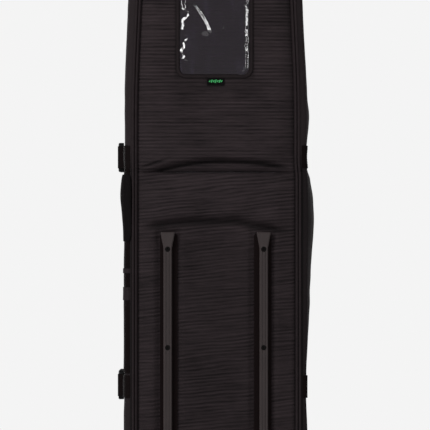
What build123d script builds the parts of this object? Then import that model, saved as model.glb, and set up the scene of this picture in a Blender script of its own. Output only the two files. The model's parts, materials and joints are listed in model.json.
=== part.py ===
"""Wheeled snowboard bag: a padded tray with glide rails and wheels, and a hinged, zipped lid.

Millimetres. +Z runs up the standing bag, X is its width and Y its depth. The back, which
carries the rails, faces -Y. The origin is on the floor, under the middle of the bag.
"""

import os

from build123d import *

# ---- overall size ----
HALF_WIDTH = 156.0  # at the base
TOP_HALF_WIDTH = 128.0
BASE_Z = 22.0  # underside of the fabric body
TAPER_Z = 1000.0  # the sides lean in above this
TOP_Z = 1645.0
BACK_Y = -88.0
TRAY_EDGE_Y = 28.0
LID_EDGE_Y = 52.0
FRONT_Y = 88.0
BASE_CORNER = 34.0
TOP_CORNER = 80.0
TAPER_BEND = 2500.0
BACK_RADIUS = 16.0  # long edges of the back
FRONT_RADIUS = 26.0  # long edges of the lid

# ---- wall layers, as depths in from the outer surface ----
FABRIC = 2.5
FOAM = 7.5
LINING = 8.5
TAPE = 9.5
BACK_SEAM = (16.5, 25.0)  # the seam binding round the back panel
LID_SEAM = (26.0, 30.0)

# ---- back panel ----
CROSS_SEAM_Z = 860.0
BOARD_FRONT_Y = -83.5
BOARD_HALF_WIDTH = 120.0
BOARD_GAP = 0.6  # between neighbouring padding boards

# ---- glide rails ----
RAIL_X = 81.5
RAIL_Z = (212.0, 758.0)
RAIL_WIDTH = 14.4
RAIL_HEAD_WIDTH = 24.7
RAIL_HEAD_LENGTH = 27.0
RAIL_HEIGHT = 9.0
BED_X = 79.8
BED_WIDTH = 29.6
BED_Z = (206.0, 756.0)
BED_THICK = 2.5
SCREW_Z = (228.0, 395.0, 562.0, 729.0)
SCREW_HEAD_R = 4.5
SCREW_R = 2.0
TEE_NUT_R = 8.0

# ---- base cap, wheels and feet ----
CAP_THICK = 2.5
CAP_BACK_Z = 115.0
CAP_FRONT_Z = 60.0
SOLE_Z = 4.0
KICK_HALF_WIDTH = 125.0
KICK_TOP_Z = 205.0
WHEEL_CENTRE = (131.0, -72.0, 44.0)
WHEEL_R = 40.0
WHEEL_WIDTH = 28.0
HUB_R = 30.0
WELL_R = 46.0
WELL_WALL = 3.5
WELL_X = (113.0, 149.0)
CHEEK_X = (109.5, 153.0)
AXLE_R = 4.0
BEARING_R = 11.0
BEARING_WIDTH = 7.0

# ---- zips ----
COIL_THICK = 1.5
COIL_WIDTH = 3.0
ZIP_Y = 40.0  # middle of the gap between the two coils
COIL_GAP = 2.0
MAIN_SLIDER_Z = (722.0, 678.0)
POCKET_ZIP_Z = 1205.0

# ---- hinge ----
HINGE_Z = (60.0, 960.0)

# ---- straps and buckles ----
STRAP_WIDTH = 38.0
STRAP_THICK = 1.6
STRAP_LIFT = 0.4
STRAP_Z = (495.0, 886.0, 1277.0)
STRAP_END_Y = -5.0
BUCKLE_LIFT = 2.4  # from the fabric to the buckle's inner face
BUCKLE_THICK = 8.6

# ---- handles and pocket ----
SIDE_WRAP_X = 146.0  # the handle and its webbing start this far out on the back edge
SIDE_HANDLE_Z = (752.0, 846.0)
SIDE_HANDLE_Y = (-95.0, -50.0)
SIDE_WEBBING_Y = (-90.0, -52.0)
TOP_HANDLE_X = 46.0
TOP_HANDLE_Y = -25.0
TOP_PIN_Z = TOP_Z + 7.5
POCKET_HALF_WIDTH = 105.0
POCKET_Z = (925.0, 1235.0)
POCKET_Y = 97.0

# ---- window, label and end panels ----
WINDOW_Z = (1025.0, 1228.0)
WINDOW_X = -2.0
WINDOW_WIDTH = 120.0
BINDING_WIDTH = 6.0
END_Z = (70.0, 1540.0)

# ---- cutting solids ----
PAST = 1.0  # how far a cutting solid runs past what it cuts
WIDE = (-400.0, 400.0)
TALL = (-100.0, 2000.0)


# ---- shared shapes ----
def outline(y, inset):
    """The bag's outline as a face at depth y, pulled in by inset."""
    with BuildSketch(Plane.XZ.offset(-y)) as face:
        with BuildLine():
            FilletPolyline(
                (-HALF_WIDTH, BASE_Z),
                (HALF_WIDTH, BASE_Z),
                (HALF_WIDTH, TAPER_Z),
                (TOP_HALF_WIDTH, TOP_Z),
                (-TOP_HALF_WIDTH, TOP_Z),
                (-HALF_WIDTH, TAPER_Z),
                radius=(BASE_CORNER, BASE_CORNER, TAPER_BEND, TOP_CORNER, TOP_CORNER, TAPER_BEND),
                close=True,
            )
        make_face()
        if inset:
            offset(amount=-inset)
    return face.sketch


def slab(inset, y_from, y_to, back_radius=0.0, front_radius=0.0):
    """The outline pulled in by inset, from y_from to y_to, with rounded long edges."""
    with BuildPart() as body:
        extrude(outline(y_to, inset), amount=y_to - y_from)
        if back_radius:
            fillet(body.edges().group_by(Axis.Y)[0], radius=back_radius)
        if front_radius:
            fillet(body.edges().group_by(Axis.Y)[-1], radius=front_radius)
    return body.part


def tray_slab(inset, past=0.0):
    """The tray's block at a depth in from its outer surface; past lengthens the open side."""
    return slab(inset, BACK_Y + inset, TRAY_EDGE_Y + past, back_radius=BACK_RADIUS - inset)


def lid_slab(inset, past=0.0):
    """The lid's block at a depth in from its outer surface; past lengthens the open side."""
    return slab(inset, LID_EDGE_Y - past, FRONT_Y - inset, front_radius=FRONT_RADIUS - inset)


def block(x, y, z):
    """A plain block between pairs of limits."""
    with BuildPart() as body:
        with BuildSketch(Plane.XY.offset(z[0])):
            with Locations(((x[0] + x[1]) / 2, (y[0] + y[1]) / 2)):
                Rectangle(x[1] - x[0], y[1] - y[0])
        extrude(amount=z[1] - z[0])
    return body.part


def x_cylinder(radius, x, y, z):
    """A cylinder along X between two limits, centred at y, z."""
    with BuildPart() as body:
        with BuildSketch(Plane.YZ.offset(x[0])):
            with Locations((y, z)):
                Circle(radius)
        extrude(amount=x[1] - x[0])
    return body.part


def y_pegs(places, radius, y):
    """Round pegs along Y at each (x, z) place."""
    with BuildPart() as body:
        with BuildSketch(Plane.XZ.offset(-y[1])):
            with Locations(*places):
                Circle(radius)
        extrude(amount=y[1] - y[0])
    return body.part


def well_space(extra):
    """Both wheel housings as plain cylinders, grown by extra."""
    with BuildPart() as body:
        for side in (-1, 1):
            low, high = sorted((side * (CHEEK_X[0] - extra), side * (CHEEK_X[1] + extra)))
            add(x_cylinder(WELL_R + WELL_WALL + extra, (low, high), WHEEL_CENTRE[1], WHEEL_CENTRE[2]))
    return body.part


def finish(piece, name):
    """Label a finished piece and write its file."""
    piece.part.label = name
    export_step(piece.part, f"parts/{name}.step")


RAIL_SCREWS = [(side * RAIL_X, z) for side in (-1, 1) for z in SCREW_Z]
KICK_SCREWS = [(x, 180.0) for x in (-108.0, -36.0, 36.0, 108.0)]
os.makedirs("parts", exist_ok=True)


# ---- tray: outer fabric ----
def tray_skin():
    """The whole outer fabric of the tray, with room for the wheel housings."""
    with BuildPart() as skin:
        add(tray_slab(0))
        add(tray_slab(FABRIC, PAST), mode=Mode.SUBTRACT)
        add(well_space(0.3), mode=Mode.SUBTRACT)
    return skin.part


def back_panel(name, z):
    """A length of the flat back panel, pierced for the screws."""
    with BuildPart() as panel:
        add(tray_skin())
        add(slab(BACK_SEAM[1], BACK_Y - PAST, BACK_Y + FABRIC), mode=Mode.INTERSECT)
        add(block(WIDE, WIDE, z), mode=Mode.INTERSECT)
        add(y_pegs(RAIL_SCREWS + KICK_SCREWS, SCREW_R + 0.1, (-100, -70)), mode=Mode.SUBTRACT)
    finish(panel, name)


def side_panel(name, x, z):
    """A piece of the fabric band round the tray."""
    with BuildPart() as panel:
        add(tray_skin())
        add(slab(BACK_SEAM[0], BACK_Y - PAST, BACK_Y + FABRIC + PAST), mode=Mode.SUBTRACT)
        add(block(x, WIDE, z), mode=Mode.INTERSECT)
    finish(panel, name)


back_panel("back_panel_lower", (TALL[0], CROSS_SEAM_Z))
back_panel("back_panel_upper", (CROSS_SEAM_Z, TALL[1]))
side_panel("side_panel_left", (WIDE[0], 0), END_Z)
side_panel("side_panel_right", (0, WIDE[1]), END_Z)
side_panel("bottom_end_panel", WIDE, (TALL[0], END_Z[0]))
side_panel("top_end_panel", WIDE, (END_Z[1], TALL[1]))


# ---- base cap with kick plate, wheel wells and sole ----
def cap_shell():
    """The cup that wraps the foot of the tray, cut low at the front."""
    with BuildPart() as cup:
        add(slab(-CAP_THICK, BACK_Y - CAP_THICK, TRAY_EDGE_Y, back_radius=BACK_RADIUS + CAP_THICK))
        with BuildSketch(Plane.YZ.offset(WIDE[0])):
            with BuildLine():
                Polyline(
                    (-120, 0),
                    (TRAY_EDGE_Y + PAST, 0),
                    (TRAY_EDGE_Y + PAST, CAP_FRONT_Z),
                    (BACK_Y, CAP_BACK_Z),
                    (-120, CAP_BACK_Z),
                    close=True,
                )
            make_face()
        extrude(amount=WIDE[1] - WIDE[0], mode=Mode.INTERSECT)
    return cup.part


def sole():
    """The thick moulded sole under the tray."""
    with BuildPart() as body:
        with BuildSketch(Plane.XY.offset(SOLE_Z)):
            with Locations((0, -26)):
                RectangleRounded(256, 120, 20)
        extrude(amount=BASE_Z - SOLE_Z)
        chamfer(body.faces().sort_by(Axis.Z)[0].edges(), length=3)
    return body.part


with BuildPart() as kick_plate:
    with BuildSketch(Plane.XZ.offset(-BACK_Y)):
        with Locations((0, (50 + KICK_TOP_Z) / 2)):
            RectangleRounded(2 * KICK_HALF_WIDTH, KICK_TOP_Z - 50, 24)
    extrude(amount=CAP_THICK)
    with BuildSketch(Plane.XZ.offset(-BACK_Y + CAP_THICK - 0.8)):
        with Locations(*[(0, 118 + 8 * row) for row in range(6)]):
            SlotOverall(150, 3)
    extrude(amount=2, mode=Mode.SUBTRACT)

with BuildPart() as housings:
    add(well_space(0))
    add(block(WIDE, (BACK_Y - CAP_THICK, TRAY_EDGE_Y), (SOLE_Z, 200)), mode=Mode.INTERSECT)

with BuildPart() as base_cap:
    add(cap_shell())
    add(sole())
    add(kick_plate.part)
    add(tray_slab(0, PAST), mode=Mode.SUBTRACT)
    add(housings.part)
    for side in (-1, 1):
        cavity = sorted((side * WELL_X[0], side * WELL_X[1]))
        pin_run = sorted((side * (CHEEK_X[0] - PAST), side * CHEEK_X[1]))
        add(x_cylinder(WELL_R, cavity, WHEEL_CENTRE[1], WHEEL_CENTRE[2]), mode=Mode.SUBTRACT)
        add(x_cylinder(AXLE_R, pin_run, WHEEL_CENTRE[1], WHEEL_CENTRE[2]), mode=Mode.SUBTRACT)
    with BuildSketch(Plane.XY.offset(SOLE_Z - PAST)):
        with Locations((0, -22)):
            with GridLocations(52, 42, 4, 2):
                RectangleRounded(34, 32, 6)
    extrude(amount=11 + PAST, mode=Mode.SUBTRACT)
    add(y_pegs(KICK_SCREWS, SCREW_R + 0.1, (-100, -85)), mode=Mode.SUBTRACT)
finish(base_cap, "base_cap")

with BuildPart() as foot_pad:
    with BuildSketch(Plane.XY):
        for y, half_length in ((-75.0, 92.0), (24.0, 112.0)):
            with Locations((0, y)):
                SlotOverall(2 * half_length, 14)
        with Locations((0, -25.5)):
            Rectangle(14, 99)
    extrude(amount=SOLE_Z)
finish(foot_pad, "foot_pad")

with BuildPart() as back_seam:
    add(slab(BACK_SEAM[0], BACK_Y - 1.5, BACK_Y + FABRIC))
    add(slab(BACK_SEAM[1], BACK_Y - 3, BACK_Y + FABRIC + PAST), mode=Mode.SUBTRACT)
    add(well_space(0.3), mode=Mode.SUBTRACT)
    add(block(WIDE, (-100, BACK_Y), (TALL[0], CAP_BACK_Z)), mode=Mode.SUBTRACT)
finish(back_seam, "back_seam_binding")

# ---- tray: padding, board and lining ----
with BuildPart() as foam_tray:
    add(tray_slab(FABRIC))
    add(tray_slab(FOAM, PAST), mode=Mode.SUBTRACT)
    add(well_space(0.3), mode=Mode.SUBTRACT)

with BuildPart() as stiffener_board:
    with BuildSketch(Plane.XZ.offset(-BOARD_FRONT_Y)):
        with Locations((0, 480)):
            RectangleRounded(2 * BOARD_HALF_WIDTH, 740, 20)
    extrude(amount=BOARD_FRONT_Y - BACK_Y - FABRIC)
    add(y_pegs(RAIL_SCREWS + KICK_SCREWS, SCREW_R + 0.1, (-90, -80)), mode=Mode.SUBTRACT)
finish(stiffener_board, "stiffener_board")

with BuildPart() as padding_back:
    add(foam_tray.part)
    add(slab(BACK_RADIUS, BACK_Y, BACK_Y + FOAM), mode=Mode.INTERSECT)
    with BuildSketch(Plane.XZ.offset(-BOARD_FRONT_Y)):
        with Locations((0, 480)):
            RectangleRounded(2 * BOARD_HALF_WIDTH, 740, 20)
    extrude(amount=10, mode=Mode.SUBTRACT)
    add(y_pegs(RAIL_SCREWS + KICK_SCREWS, TEE_NUT_R, (-90, -70)), mode=Mode.SUBTRACT)
finish(padding_back, "padding_back")

# four boards, left and right, head and foot, with a narrow gap between neighbours
with BuildPart() as padding_sides:
    add(foam_tray.part)
    add(slab(BACK_RADIUS, BACK_Y - PAST, BACK_Y + FOAM + PAST), mode=Mode.SUBTRACT)
    for z in END_Z:
        add(block(WIDE, WIDE, (z - BOARD_GAP / 2, z + BOARD_GAP / 2)), mode=Mode.SUBTRACT)
finish(padding_sides, "padding_sides")

with BuildPart() as tray_lining:
    add(tray_slab(FOAM))
    add(tray_slab(LINING, PAST), mode=Mode.SUBTRACT)
    add(well_space(0.3), mode=Mode.SUBTRACT)
finish(tray_lining, "tray_lining")

# ---- glide rails ----
def rail(name, x):
    """A moulded rail: a grooved rib with a flared upper head, countersunk for its screws."""
    low, high = RAIL_Z
    half, head = RAIL_WIDTH / 2, RAIL_HEAD_WIDTH / 2
    foot_y = BACK_Y - BED_THICK
    with BuildPart() as body:
        with BuildSketch(Plane((x, foot_y, 0), x_dir=(1, 0, 0), z_dir=(0, -1, 0))):
            with BuildLine():
                FilletPolyline(
                    (-half, low),
                    (half, low),
                    (half, high - RAIL_HEAD_LENGTH),
                    (head, high),
                    (-head, high),
                    (-half, high - RAIL_HEAD_LENGTH),
                    radius=(4, 4, 12, 2, 2, 12),
                    close=True,
                )
            make_face()
        extrude(amount=RAIL_HEIGHT)
        chamfer(body.faces().sort_by(Axis.Y)[0].edges(), length=1.6)
        with BuildSketch(Plane.XZ.offset(-foot_y + RAIL_HEIGHT - 0.8)):
            with Locations((x - 2.6, (low + high) / 2 - 6), (x + 2.6, (low + high) / 2 - 6)):
                SlotOverall(high - low - 50, 1.0, rotation=90)
        extrude(amount=2, mode=Mode.SUBTRACT)
        places = [(x, z) for z in SCREW_Z]
        add(y_pegs(places, SCREW_R + 0.1, (-110, -80)), mode=Mode.SUBTRACT)
        add(y_pegs(places, SCREW_HEAD_R + 0.1, (-110, foot_y - RAIL_HEIGHT + 2.7)), mode=Mode.SUBTRACT)
    finish(body, name)


rail("rail_left", -RAIL_X)
rail("rail_right", RAIL_X)

with BuildPart() as rail_beds:
    with BuildSketch(Plane.XZ.offset(-BACK_Y)):
        with Locations((-BED_X, sum(BED_Z) / 2), (BED_X, sum(BED_Z) / 2)):
            RectangleRounded(BED_WIDTH, BED_Z[1] - BED_Z[0], 6)
    extrude(amount=BED_THICK)
    add(y_pegs(RAIL_SCREWS, SCREW_R + 0.1, (-110, -80)), mode=Mode.SUBTRACT)
finish(rail_beds, "rail_beds")

RAIL_TOP_Y = BACK_Y - BED_THICK - RAIL_HEIGHT
NUT_BACK_Y = BOARD_FRONT_Y + 1.5
with BuildPart() as back_screws:
    add(y_pegs(RAIL_SCREWS, SCREW_HEAD_R, (RAIL_TOP_Y + 0.4, RAIL_TOP_Y + 2.7)))
    add(y_pegs(RAIL_SCREWS, SCREW_R, (RAIL_TOP_Y + 2.7, NUT_BACK_Y)))
    add(y_pegs(KICK_SCREWS, SCREW_HEAD_R, (BACK_Y - CAP_THICK - 2, BACK_Y - CAP_THICK)))
    add(y_pegs(KICK_SCREWS, SCREW_R, (BACK_Y - CAP_THICK, NUT_BACK_Y)))
    for places, face_y in ((RAIL_SCREWS, RAIL_TOP_Y + 0.4), (KICK_SCREWS, BACK_Y - CAP_THICK - 2)):
        with BuildSketch(Plane.XZ.offset(-face_y)):
            with Locations(*places):
                RegularPolygon(2.0, 6)
        extrude(amount=-1.4, mode=Mode.SUBTRACT)
finish(back_screws, "back_screws")

with BuildPart() as back_tee_nuts:
    add(y_pegs(RAIL_SCREWS + KICK_SCREWS, TEE_NUT_R, (BOARD_FRONT_Y, NUT_BACK_Y)))
    add(y_pegs(RAIL_SCREWS + KICK_SCREWS, SCREW_R, (-90, -70)), mode=Mode.SUBTRACT)
finish(back_tee_nuts, "back_tee_nuts")


# ---- ID window ----
def window_face(y, grow, corner):
    """The window's rounded shape at depth y, grown all round."""
    with BuildSketch(Plane.XZ.offset(-y)) as face:
        with Locations((WINDOW_X, sum(WINDOW_Z) / 2)):
            RectangleRounded(WINDOW_WIDTH + 2 * grow, WINDOW_Z[1] - WINDOW_Z[0] + 2 * grow, corner)
    return face.sketch


with BuildPart() as window_pane:
    extrude(window_face(BACK_Y, 0, 11), amount=0.6)
finish(window_pane, "window_pane")

with BuildPart() as window_binding:
    extrude(window_face(BACK_Y, BINDING_WIDTH, 17), amount=1.6)
    extrude(window_face(BACK_Y, 0, 11), amount=3, mode=Mode.SUBTRACT)
finish(window_binding, "window_binding")

with BuildPart() as label_tab:
    tab_top = WINDOW_Z[0] - BINDING_WIDTH
    with BuildSketch(Plane.XZ.offset(-BACK_Y)):
        with Locations((0, tab_top - 6)):
            RectangleRounded(29, 12, 1.5)
    extrude(amount=1.2)
finish(label_tab, "label_tab")


# ---- main zip and fabric hinge ----
HINGE_SPACE = ((100.0, 200.0), WIDE, HINGE_Z)


def zip_strip(name, depth, y):
    """A strip of zip tape or coil round the open side, missing where the hinge is."""
    with BuildPart() as strip:
        add(slab(depth[0], y[0], y[1]))
        add(slab(depth[1], y[0] - PAST, y[1] + PAST), mode=Mode.SUBTRACT)
        add(block(*HINGE_SPACE), mode=Mode.SUBTRACT)
    finish(strip, name)


TRAY_COIL_Y = (ZIP_Y - COIL_GAP / 2 - COIL_WIDTH, ZIP_Y - COIL_GAP / 2)
LID_COIL_Y = (ZIP_Y + COIL_GAP / 2, ZIP_Y + COIL_GAP / 2 + COIL_WIDTH)
COIL_DEPTH = (LINING - COIL_THICK, LINING)
zip_strip("tray_zip_tape", (LINING, TAPE), (TRAY_EDGE_Y - 8, TRAY_COIL_Y[1]))
zip_strip("lid_zip_tape", (LINING, TAPE), (LID_COIL_Y[0], LID_EDGE_Y + 8))
zip_strip("tray_zip_coil", COIL_DEPTH, TRAY_COIL_Y)
zip_strip("lid_zip_coil", COIL_DEPTH, LID_COIL_Y)


def hinge_fabric(name, y):
    """One leaf of the fabric hinge on the right side."""
    with BuildPart() as leaf:
        add(slab(0.2, y[0], y[1]))
        add(slab(1.4, y[0] - PAST, y[1] + PAST), mode=Mode.SUBTRACT)
        add(block((100.0, 200.0), WIDE, HINGE_Z), mode=Mode.INTERSECT)
    finish(leaf, name)


hinge_fabric("hinge_fabric_tray", (TRAY_EDGE_Y, ZIP_Y - 6))
hinge_fabric("hinge_fabric_lid", (ZIP_Y + 6, LID_EDGE_Y))

# ---- lid ----
with BuildPart() as lid_skin:
    add(lid_slab(0))
    add(lid_slab(FABRIC, PAST), mode=Mode.SUBTRACT)

with BuildPart() as lid_front_panel:
    add(lid_skin.part)
    add(slab(LID_SEAM[1], FRONT_Y - FABRIC, FRONT_Y + PAST), mode=Mode.INTERSECT)
finish(lid_front_panel, "lid_front_panel")

with BuildPart() as lid_side_band:
    add(lid_skin.part)
    add(slab(LID_SEAM[0], FRONT_Y - FABRIC - PAST, FRONT_Y + PAST), mode=Mode.SUBTRACT)
finish(lid_side_band, "lid_side_band")

with BuildPart() as lid_piping:
    add(slab(LID_SEAM[0], FRONT_Y - FABRIC, FRONT_Y + 0.2))
    add(slab(LID_SEAM[1], FRONT_Y - FABRIC - PAST, FRONT_Y + PAST), mode=Mode.SUBTRACT)
finish(lid_piping, "lid_piping")

with BuildPart() as foam_lid:
    add(lid_slab(FABRIC))
    add(lid_slab(FOAM, PAST), mode=Mode.SUBTRACT)

with BuildPart() as front_board:
    add(foam_lid.part)
    add(slab(LID_SEAM[0] + BOARD_GAP, LID_EDGE_Y, FRONT_Y), mode=Mode.INTERSECT)

# a ring of four boards round a front board
with BuildPart() as lid_padding:
    add(foam_lid.part)
    add(slab(LID_SEAM[0], LID_EDGE_Y - PAST, FRONT_Y), mode=Mode.SUBTRACT)
    for z in END_Z:
        add(block(WIDE, WIDE, (z - BOARD_GAP / 2, z + BOARD_GAP / 2)), mode=Mode.SUBTRACT)
    add(front_board.part)
finish(lid_padding, "lid_padding")

with BuildPart() as lid_lining:
    add(lid_slab(FOAM))
    add(lid_slab(LINING, PAST), mode=Mode.SUBTRACT)
finish(lid_lining, "lid_lining")

# ---- front pocket ----
with BuildPart() as front_pocket:
    pocket_middle = sum(POCKET_Z) / 2
    pocket_height = POCKET_Z[1] - POCKET_Z[0]
    with BuildSketch(Plane.XZ.offset(-POCKET_Y)):
        with Locations((0, pocket_middle)):
            RectangleRounded(2 * POCKET_HALF_WIDTH, pocket_height, 22)
    extrude(amount=POCKET_Y - FRONT_Y)
    fillet(front_pocket.faces().sort_by(Axis.Y)[-1].edges(), radius=5)
    with BuildSketch(Plane.XZ.offset(-(POCKET_Y - 2))):
        with Locations((0, pocket_middle)):
            RectangleRounded(2 * POCKET_HALF_WIDTH - 5, pocket_height - 5, 19)
    extrude(amount=POCKET_Y - 2 - FRONT_Y, mode=Mode.SUBTRACT)
    with BuildSketch(Plane.XZ.offset(-(POCKET_Y + PAST))):
        with Locations((0, POCKET_ZIP_Z)):
            SlotOverall(184, 16)
    extrude(amount=5, mode=Mode.SUBTRACT)
finish(front_pocket, "front_pocket")

with BuildPart() as pocket_zip:
    tape_y = POCKET_Y - 2
    for side in (-1, 1):
        for depth, near, far in ((-1.0, 1.0, 9.0), (COIL_THICK, 1.0, 4.0)):
            with BuildSketch(Plane.XZ.offset(-tape_y)):
                with Locations((0, POCKET_ZIP_Z + side * (near + far) / 2)):
                    Rectangle(176, far - near)
            extrude(amount=-depth)
finish(pocket_zip, "pocket_zip")


# ---- zip sliders and pulls ----
def slider(name, plane):
    """A zip slider. The plane lies on the tape: X across the zip, Y along it, Z outwards."""
    with BuildPart() as body:
        with BuildSketch(plane.offset(COIL_THICK + 0.3)):
            with BuildLine():
                FilletPolyline((-6.5, 11), (-4, -11), (4, -11), (6.5, 11), radius=2.5, close=True)
            make_face()
        extrude(amount=2.0)
        with BuildSketch(plane.offset(-3.0)):
            with BuildLine():
                FilletPolyline((-6, 10), (-4, -10), (4, -10), (6, 10), radius=2.5, close=True)
            make_face()
        extrude(amount=1.7)
        with BuildSketch(plane.offset(-1.5)):
            with Locations((0, 7)):
                Rectangle(1.6, 5)
        extrude(amount=3.5)
        with BuildSketch(plane.offset(COIL_THICK + 2.2)):
            with Locations((-3.2, -6.5), (3.2, -6.5)):
                Rectangle(1.2, 4.4)
        extrude(amount=3.9)
        with BuildSketch(Plane(plane.from_local_coords((-3.2, -6.5, 5.8)), plane.z_dir, plane.x_dir)):
            Circle(0.8)
        extrude(amount=6.4)
    finish(body, name)


def pull(name, plane):
    """A pull tab whose eye turns on the slider's cross pin."""
    eye = Plane(plane.from_local_coords((-2.4, -6.5, 5.8)), plane.z_dir, plane.x_dir)
    with BuildPart() as body:
        with BuildSketch(eye):
            Circle(1.5)
        extrude(amount=4.8)
        with BuildSketch(plane.offset(5.0)):
            with Locations((0, -2.2)):
                Rectangle(4.0, 6.6)
            with Locations((0, 15)):
                RectangleRounded(8, 32, 3)
            with Locations((0, 26)):
                SlotOverall(8, 3.5, rotation=90, mode=Mode.SUBTRACT)
        extrude(amount=1.6)
        with BuildSketch(eye.offset(-PAST)):
            Circle(0.86)
        extrude(amount=7, mode=Mode.SUBTRACT)
    finish(body, name)


TAPE_FACE_X = -HALF_WIDTH + LINING
for name, z in zip(("upper", "lower"), MAIN_SLIDER_Z):
    zip_plane = Plane((TAPE_FACE_X, ZIP_Y, z), x_dir=(0, 1, 0), z_dir=(-1, 0, 0))
    slider(f"zip_slider_{name}", zip_plane)
    pull(f"zip_pull_{name}", zip_plane)
pocket_plane = Plane((-70, POCKET_Y - 2, POCKET_ZIP_Z), x_dir=(0, 0, 1), z_dir=(0, 1, 0))
slider("pocket_slider", pocket_plane)
pull("pocket_pull", pocket_plane)


# ---- compression straps ----
def strap_hoops():
    """Webbing hoops right round the closed bag at each strap's height."""
    inner, outer = STRAP_LIFT, STRAP_LIFT + STRAP_THICK
    with BuildPart() as hoops:
        add(slab(-outer, BACK_Y - outer, FRONT_Y + outer, BACK_RADIUS + outer, FRONT_RADIUS + outer))
        add(
            slab(-inner, BACK_Y - inner, FRONT_Y + inner, BACK_RADIUS + inner, FRONT_RADIUS + inner),
            mode=Mode.SUBTRACT,
        )
        with BuildSketch(Plane.XZ.offset(200)):
            with Locations(*[(0, z) for z in STRAP_Z]):
                Rectangle(600, STRAP_WIDTH)
        extrude(amount=-400, mode=Mode.INTERSECT)
    return hoops.part


def strap_piece(name, x, y):
    """The part of the hoops between limits, starting from the back seam."""
    with BuildPart() as piece:
        add(strap_hoops())
        add(block(x, y, TALL), mode=Mode.INTERSECT)
        add(slab(BACK_SEAM[0], BACK_Y - 5, BACK_Y + 5), mode=Mode.SUBTRACT)
    finish(piece, name)


strap_piece("strap_anchors_right", (0, WIDE[1]), (WIDE[0], ZIP_Y - 7))
strap_piece("strap_anchors_left", (WIDE[0], 0), (WIDE[0], -14))

with BuildPart() as compression_straps:
    add(strap_hoops())
    with BuildSketch(Plane.XY):
        with BuildLine():
            Polyline(
                (300, ZIP_Y + 7),
                (0, ZIP_Y + 7),
                (0, STRAP_END_Y),
                (-300, STRAP_END_Y),
                (-300, 200),
                (300, 200),
                close=True,
            )
        make_face()
    extrude(amount=TALL[1], mode=Mode.INTERSECT)
finish(compression_straps, "compression_straps")


# ---- side-release buckles ----
def buckle_plane(z):
    """A plane on the buckle's inner face: X towards the lid, Z outwards from the bag."""
    lean = (HALF_WIDTH - TOP_HALF_WIDTH) / (TOP_Z - TAPER_Z) if z > TAPER_Z else 0.0
    half_width = HALF_WIDTH - lean * (z - TAPER_Z)
    return Plane((-half_width - BUCKLE_LIFT, 0, z), x_dir=(0, 1, 0), z_dir=(-1, 0, lean))


with BuildPart() as buckle_sockets:
    for z in STRAP_Z:
        plane = buckle_plane(z)
        with BuildSketch(plane):
            with Locations((-26, 0)):
                RectangleRounded(32, 50, 7)
        extrude(amount=BUCKLE_THICK)
        fillet(buckle_sockets.faces(Select.LAST).sort_by(Axis.X)[0].edges(), radius=2.2)
    for z in STRAP_Z:
        plane = buckle_plane(z)
        with BuildSketch(plane.offset(1.7)):
            with Locations((-22, 0)):
                Rectangle(26, 42)
            with Locations((-24, 0)):
                Rectangle(12, 52)
        extrude(amount=BUCKLE_THICK - 3.4, mode=Mode.SUBTRACT)
        with BuildSketch(plane):
            with Locations((-38.5, 0)):
                Rectangle(2.4, 40)
        extrude(amount=BUCKLE_THICK, mode=Mode.SUBTRACT)
finish(buckle_sockets, "buckle_sockets")


def buckle_prongs(name, z):
    """The pronged half of a buckle, with ladder slots for the webbing."""
    plane = buckle_plane(z)
    with BuildPart() as body:
        with BuildSketch(plane.offset(0.8)):
            with Locations((3, 0)):
                RectangleRounded(24, 50, 4)
        extrude(amount=BUCKLE_THICK - 1.6)
        fillet(body.faces().sort_by(Axis.X)[0].edges(), radius=2.0)
        with BuildSketch(plane):
            with Locations((0.5, 0), (8.5, 0)):
                Rectangle(3.6, 40)
        extrude(amount=BUCKLE_THICK, mode=Mode.SUBTRACT)
        with BuildSketch(plane.offset(2.3)):
            for side in (-1, 1):
                with BuildLine():
                    FilletPolyline(
                        (-8, side * 14),
                        (-8, side * 18.5),
                        (-18, side * 18.5),
                        (-19, side * 20.5),
                        (-27, side * 20.5),
                        (-32, side * 16.5),
                        (-32, side * 14),
                        radius=1.2,
                        close=True,
                    )
                make_face()
            with Locations((-18, 0)):
                Rectangle(22, 5)
        extrude(amount=4.0)
    finish(body, name)


for name, z in zip(("lower", "middle", "upper"), STRAP_Z):
    buckle_prongs(f"buckle_prongs_{name}", z)

# ---- side handle ----
def edge_wrap(inner, outer, y, spans):
    """A layer lying over the left back edge, between two lifts off the fabric, at each z span."""
    with BuildPart() as layer:
        add(slab(-outer, BACK_Y - outer, TRAY_EDGE_Y, BACK_RADIUS + outer))
        add(slab(-inner, BACK_Y - inner, TRAY_EDGE_Y + PAST, BACK_RADIUS + inner), mode=Mode.SUBTRACT)
        with BuildSketch(Plane.YZ.offset(-200)):
            for low, high in spans:
                with Locations((sum(y) / 2, (low + high) / 2)):
                    Rectangle(y[1] - y[0], high - low)
        extrude(amount=200 - SIDE_WRAP_X, mode=Mode.INTERSECT)
    return layer.part


with BuildPart() as side_handle:
    add(edge_wrap(0.9, 6.9, SIDE_HANDLE_Y, (SIDE_HANDLE_Z,)))
finish(side_handle, "side_handle")

with BuildPart() as side_webbing:
    add(edge_wrap(0, STRAP_THICK, SIDE_WEBBING_Y, ((518.0, 751.0), (847.0, 866.0))))
finish(side_webbing, "side_webbing")

# ---- top handle on two pins ----
with BuildPart() as top_handle_anchors:
    for side in (-1, 1):
        middle = side * TOP_HANDLE_X
        add(block((middle - 11, middle + 11), (TOP_HANDLE_Y - 14, TOP_HANDLE_Y + 14), (TOP_Z, TOP_Z + 1.8)))
        for post in (middle - 8, middle + 8):
            add(
                block(
                    (post - 1.5, post + 1.5),
                    (TOP_HANDLE_Y - 4, TOP_HANDLE_Y + 4),
                    (TOP_Z, TOP_PIN_Z + 3.5),
                )
            )
        add(x_cylinder(2, (middle - 8, middle + 8), TOP_HANDLE_Y, TOP_PIN_Z))
    add(slab(0, BACK_Y, TRAY_EDGE_Y), mode=Mode.SUBTRACT)
finish(top_handle_anchors, "top_handle_anchors")

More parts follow.
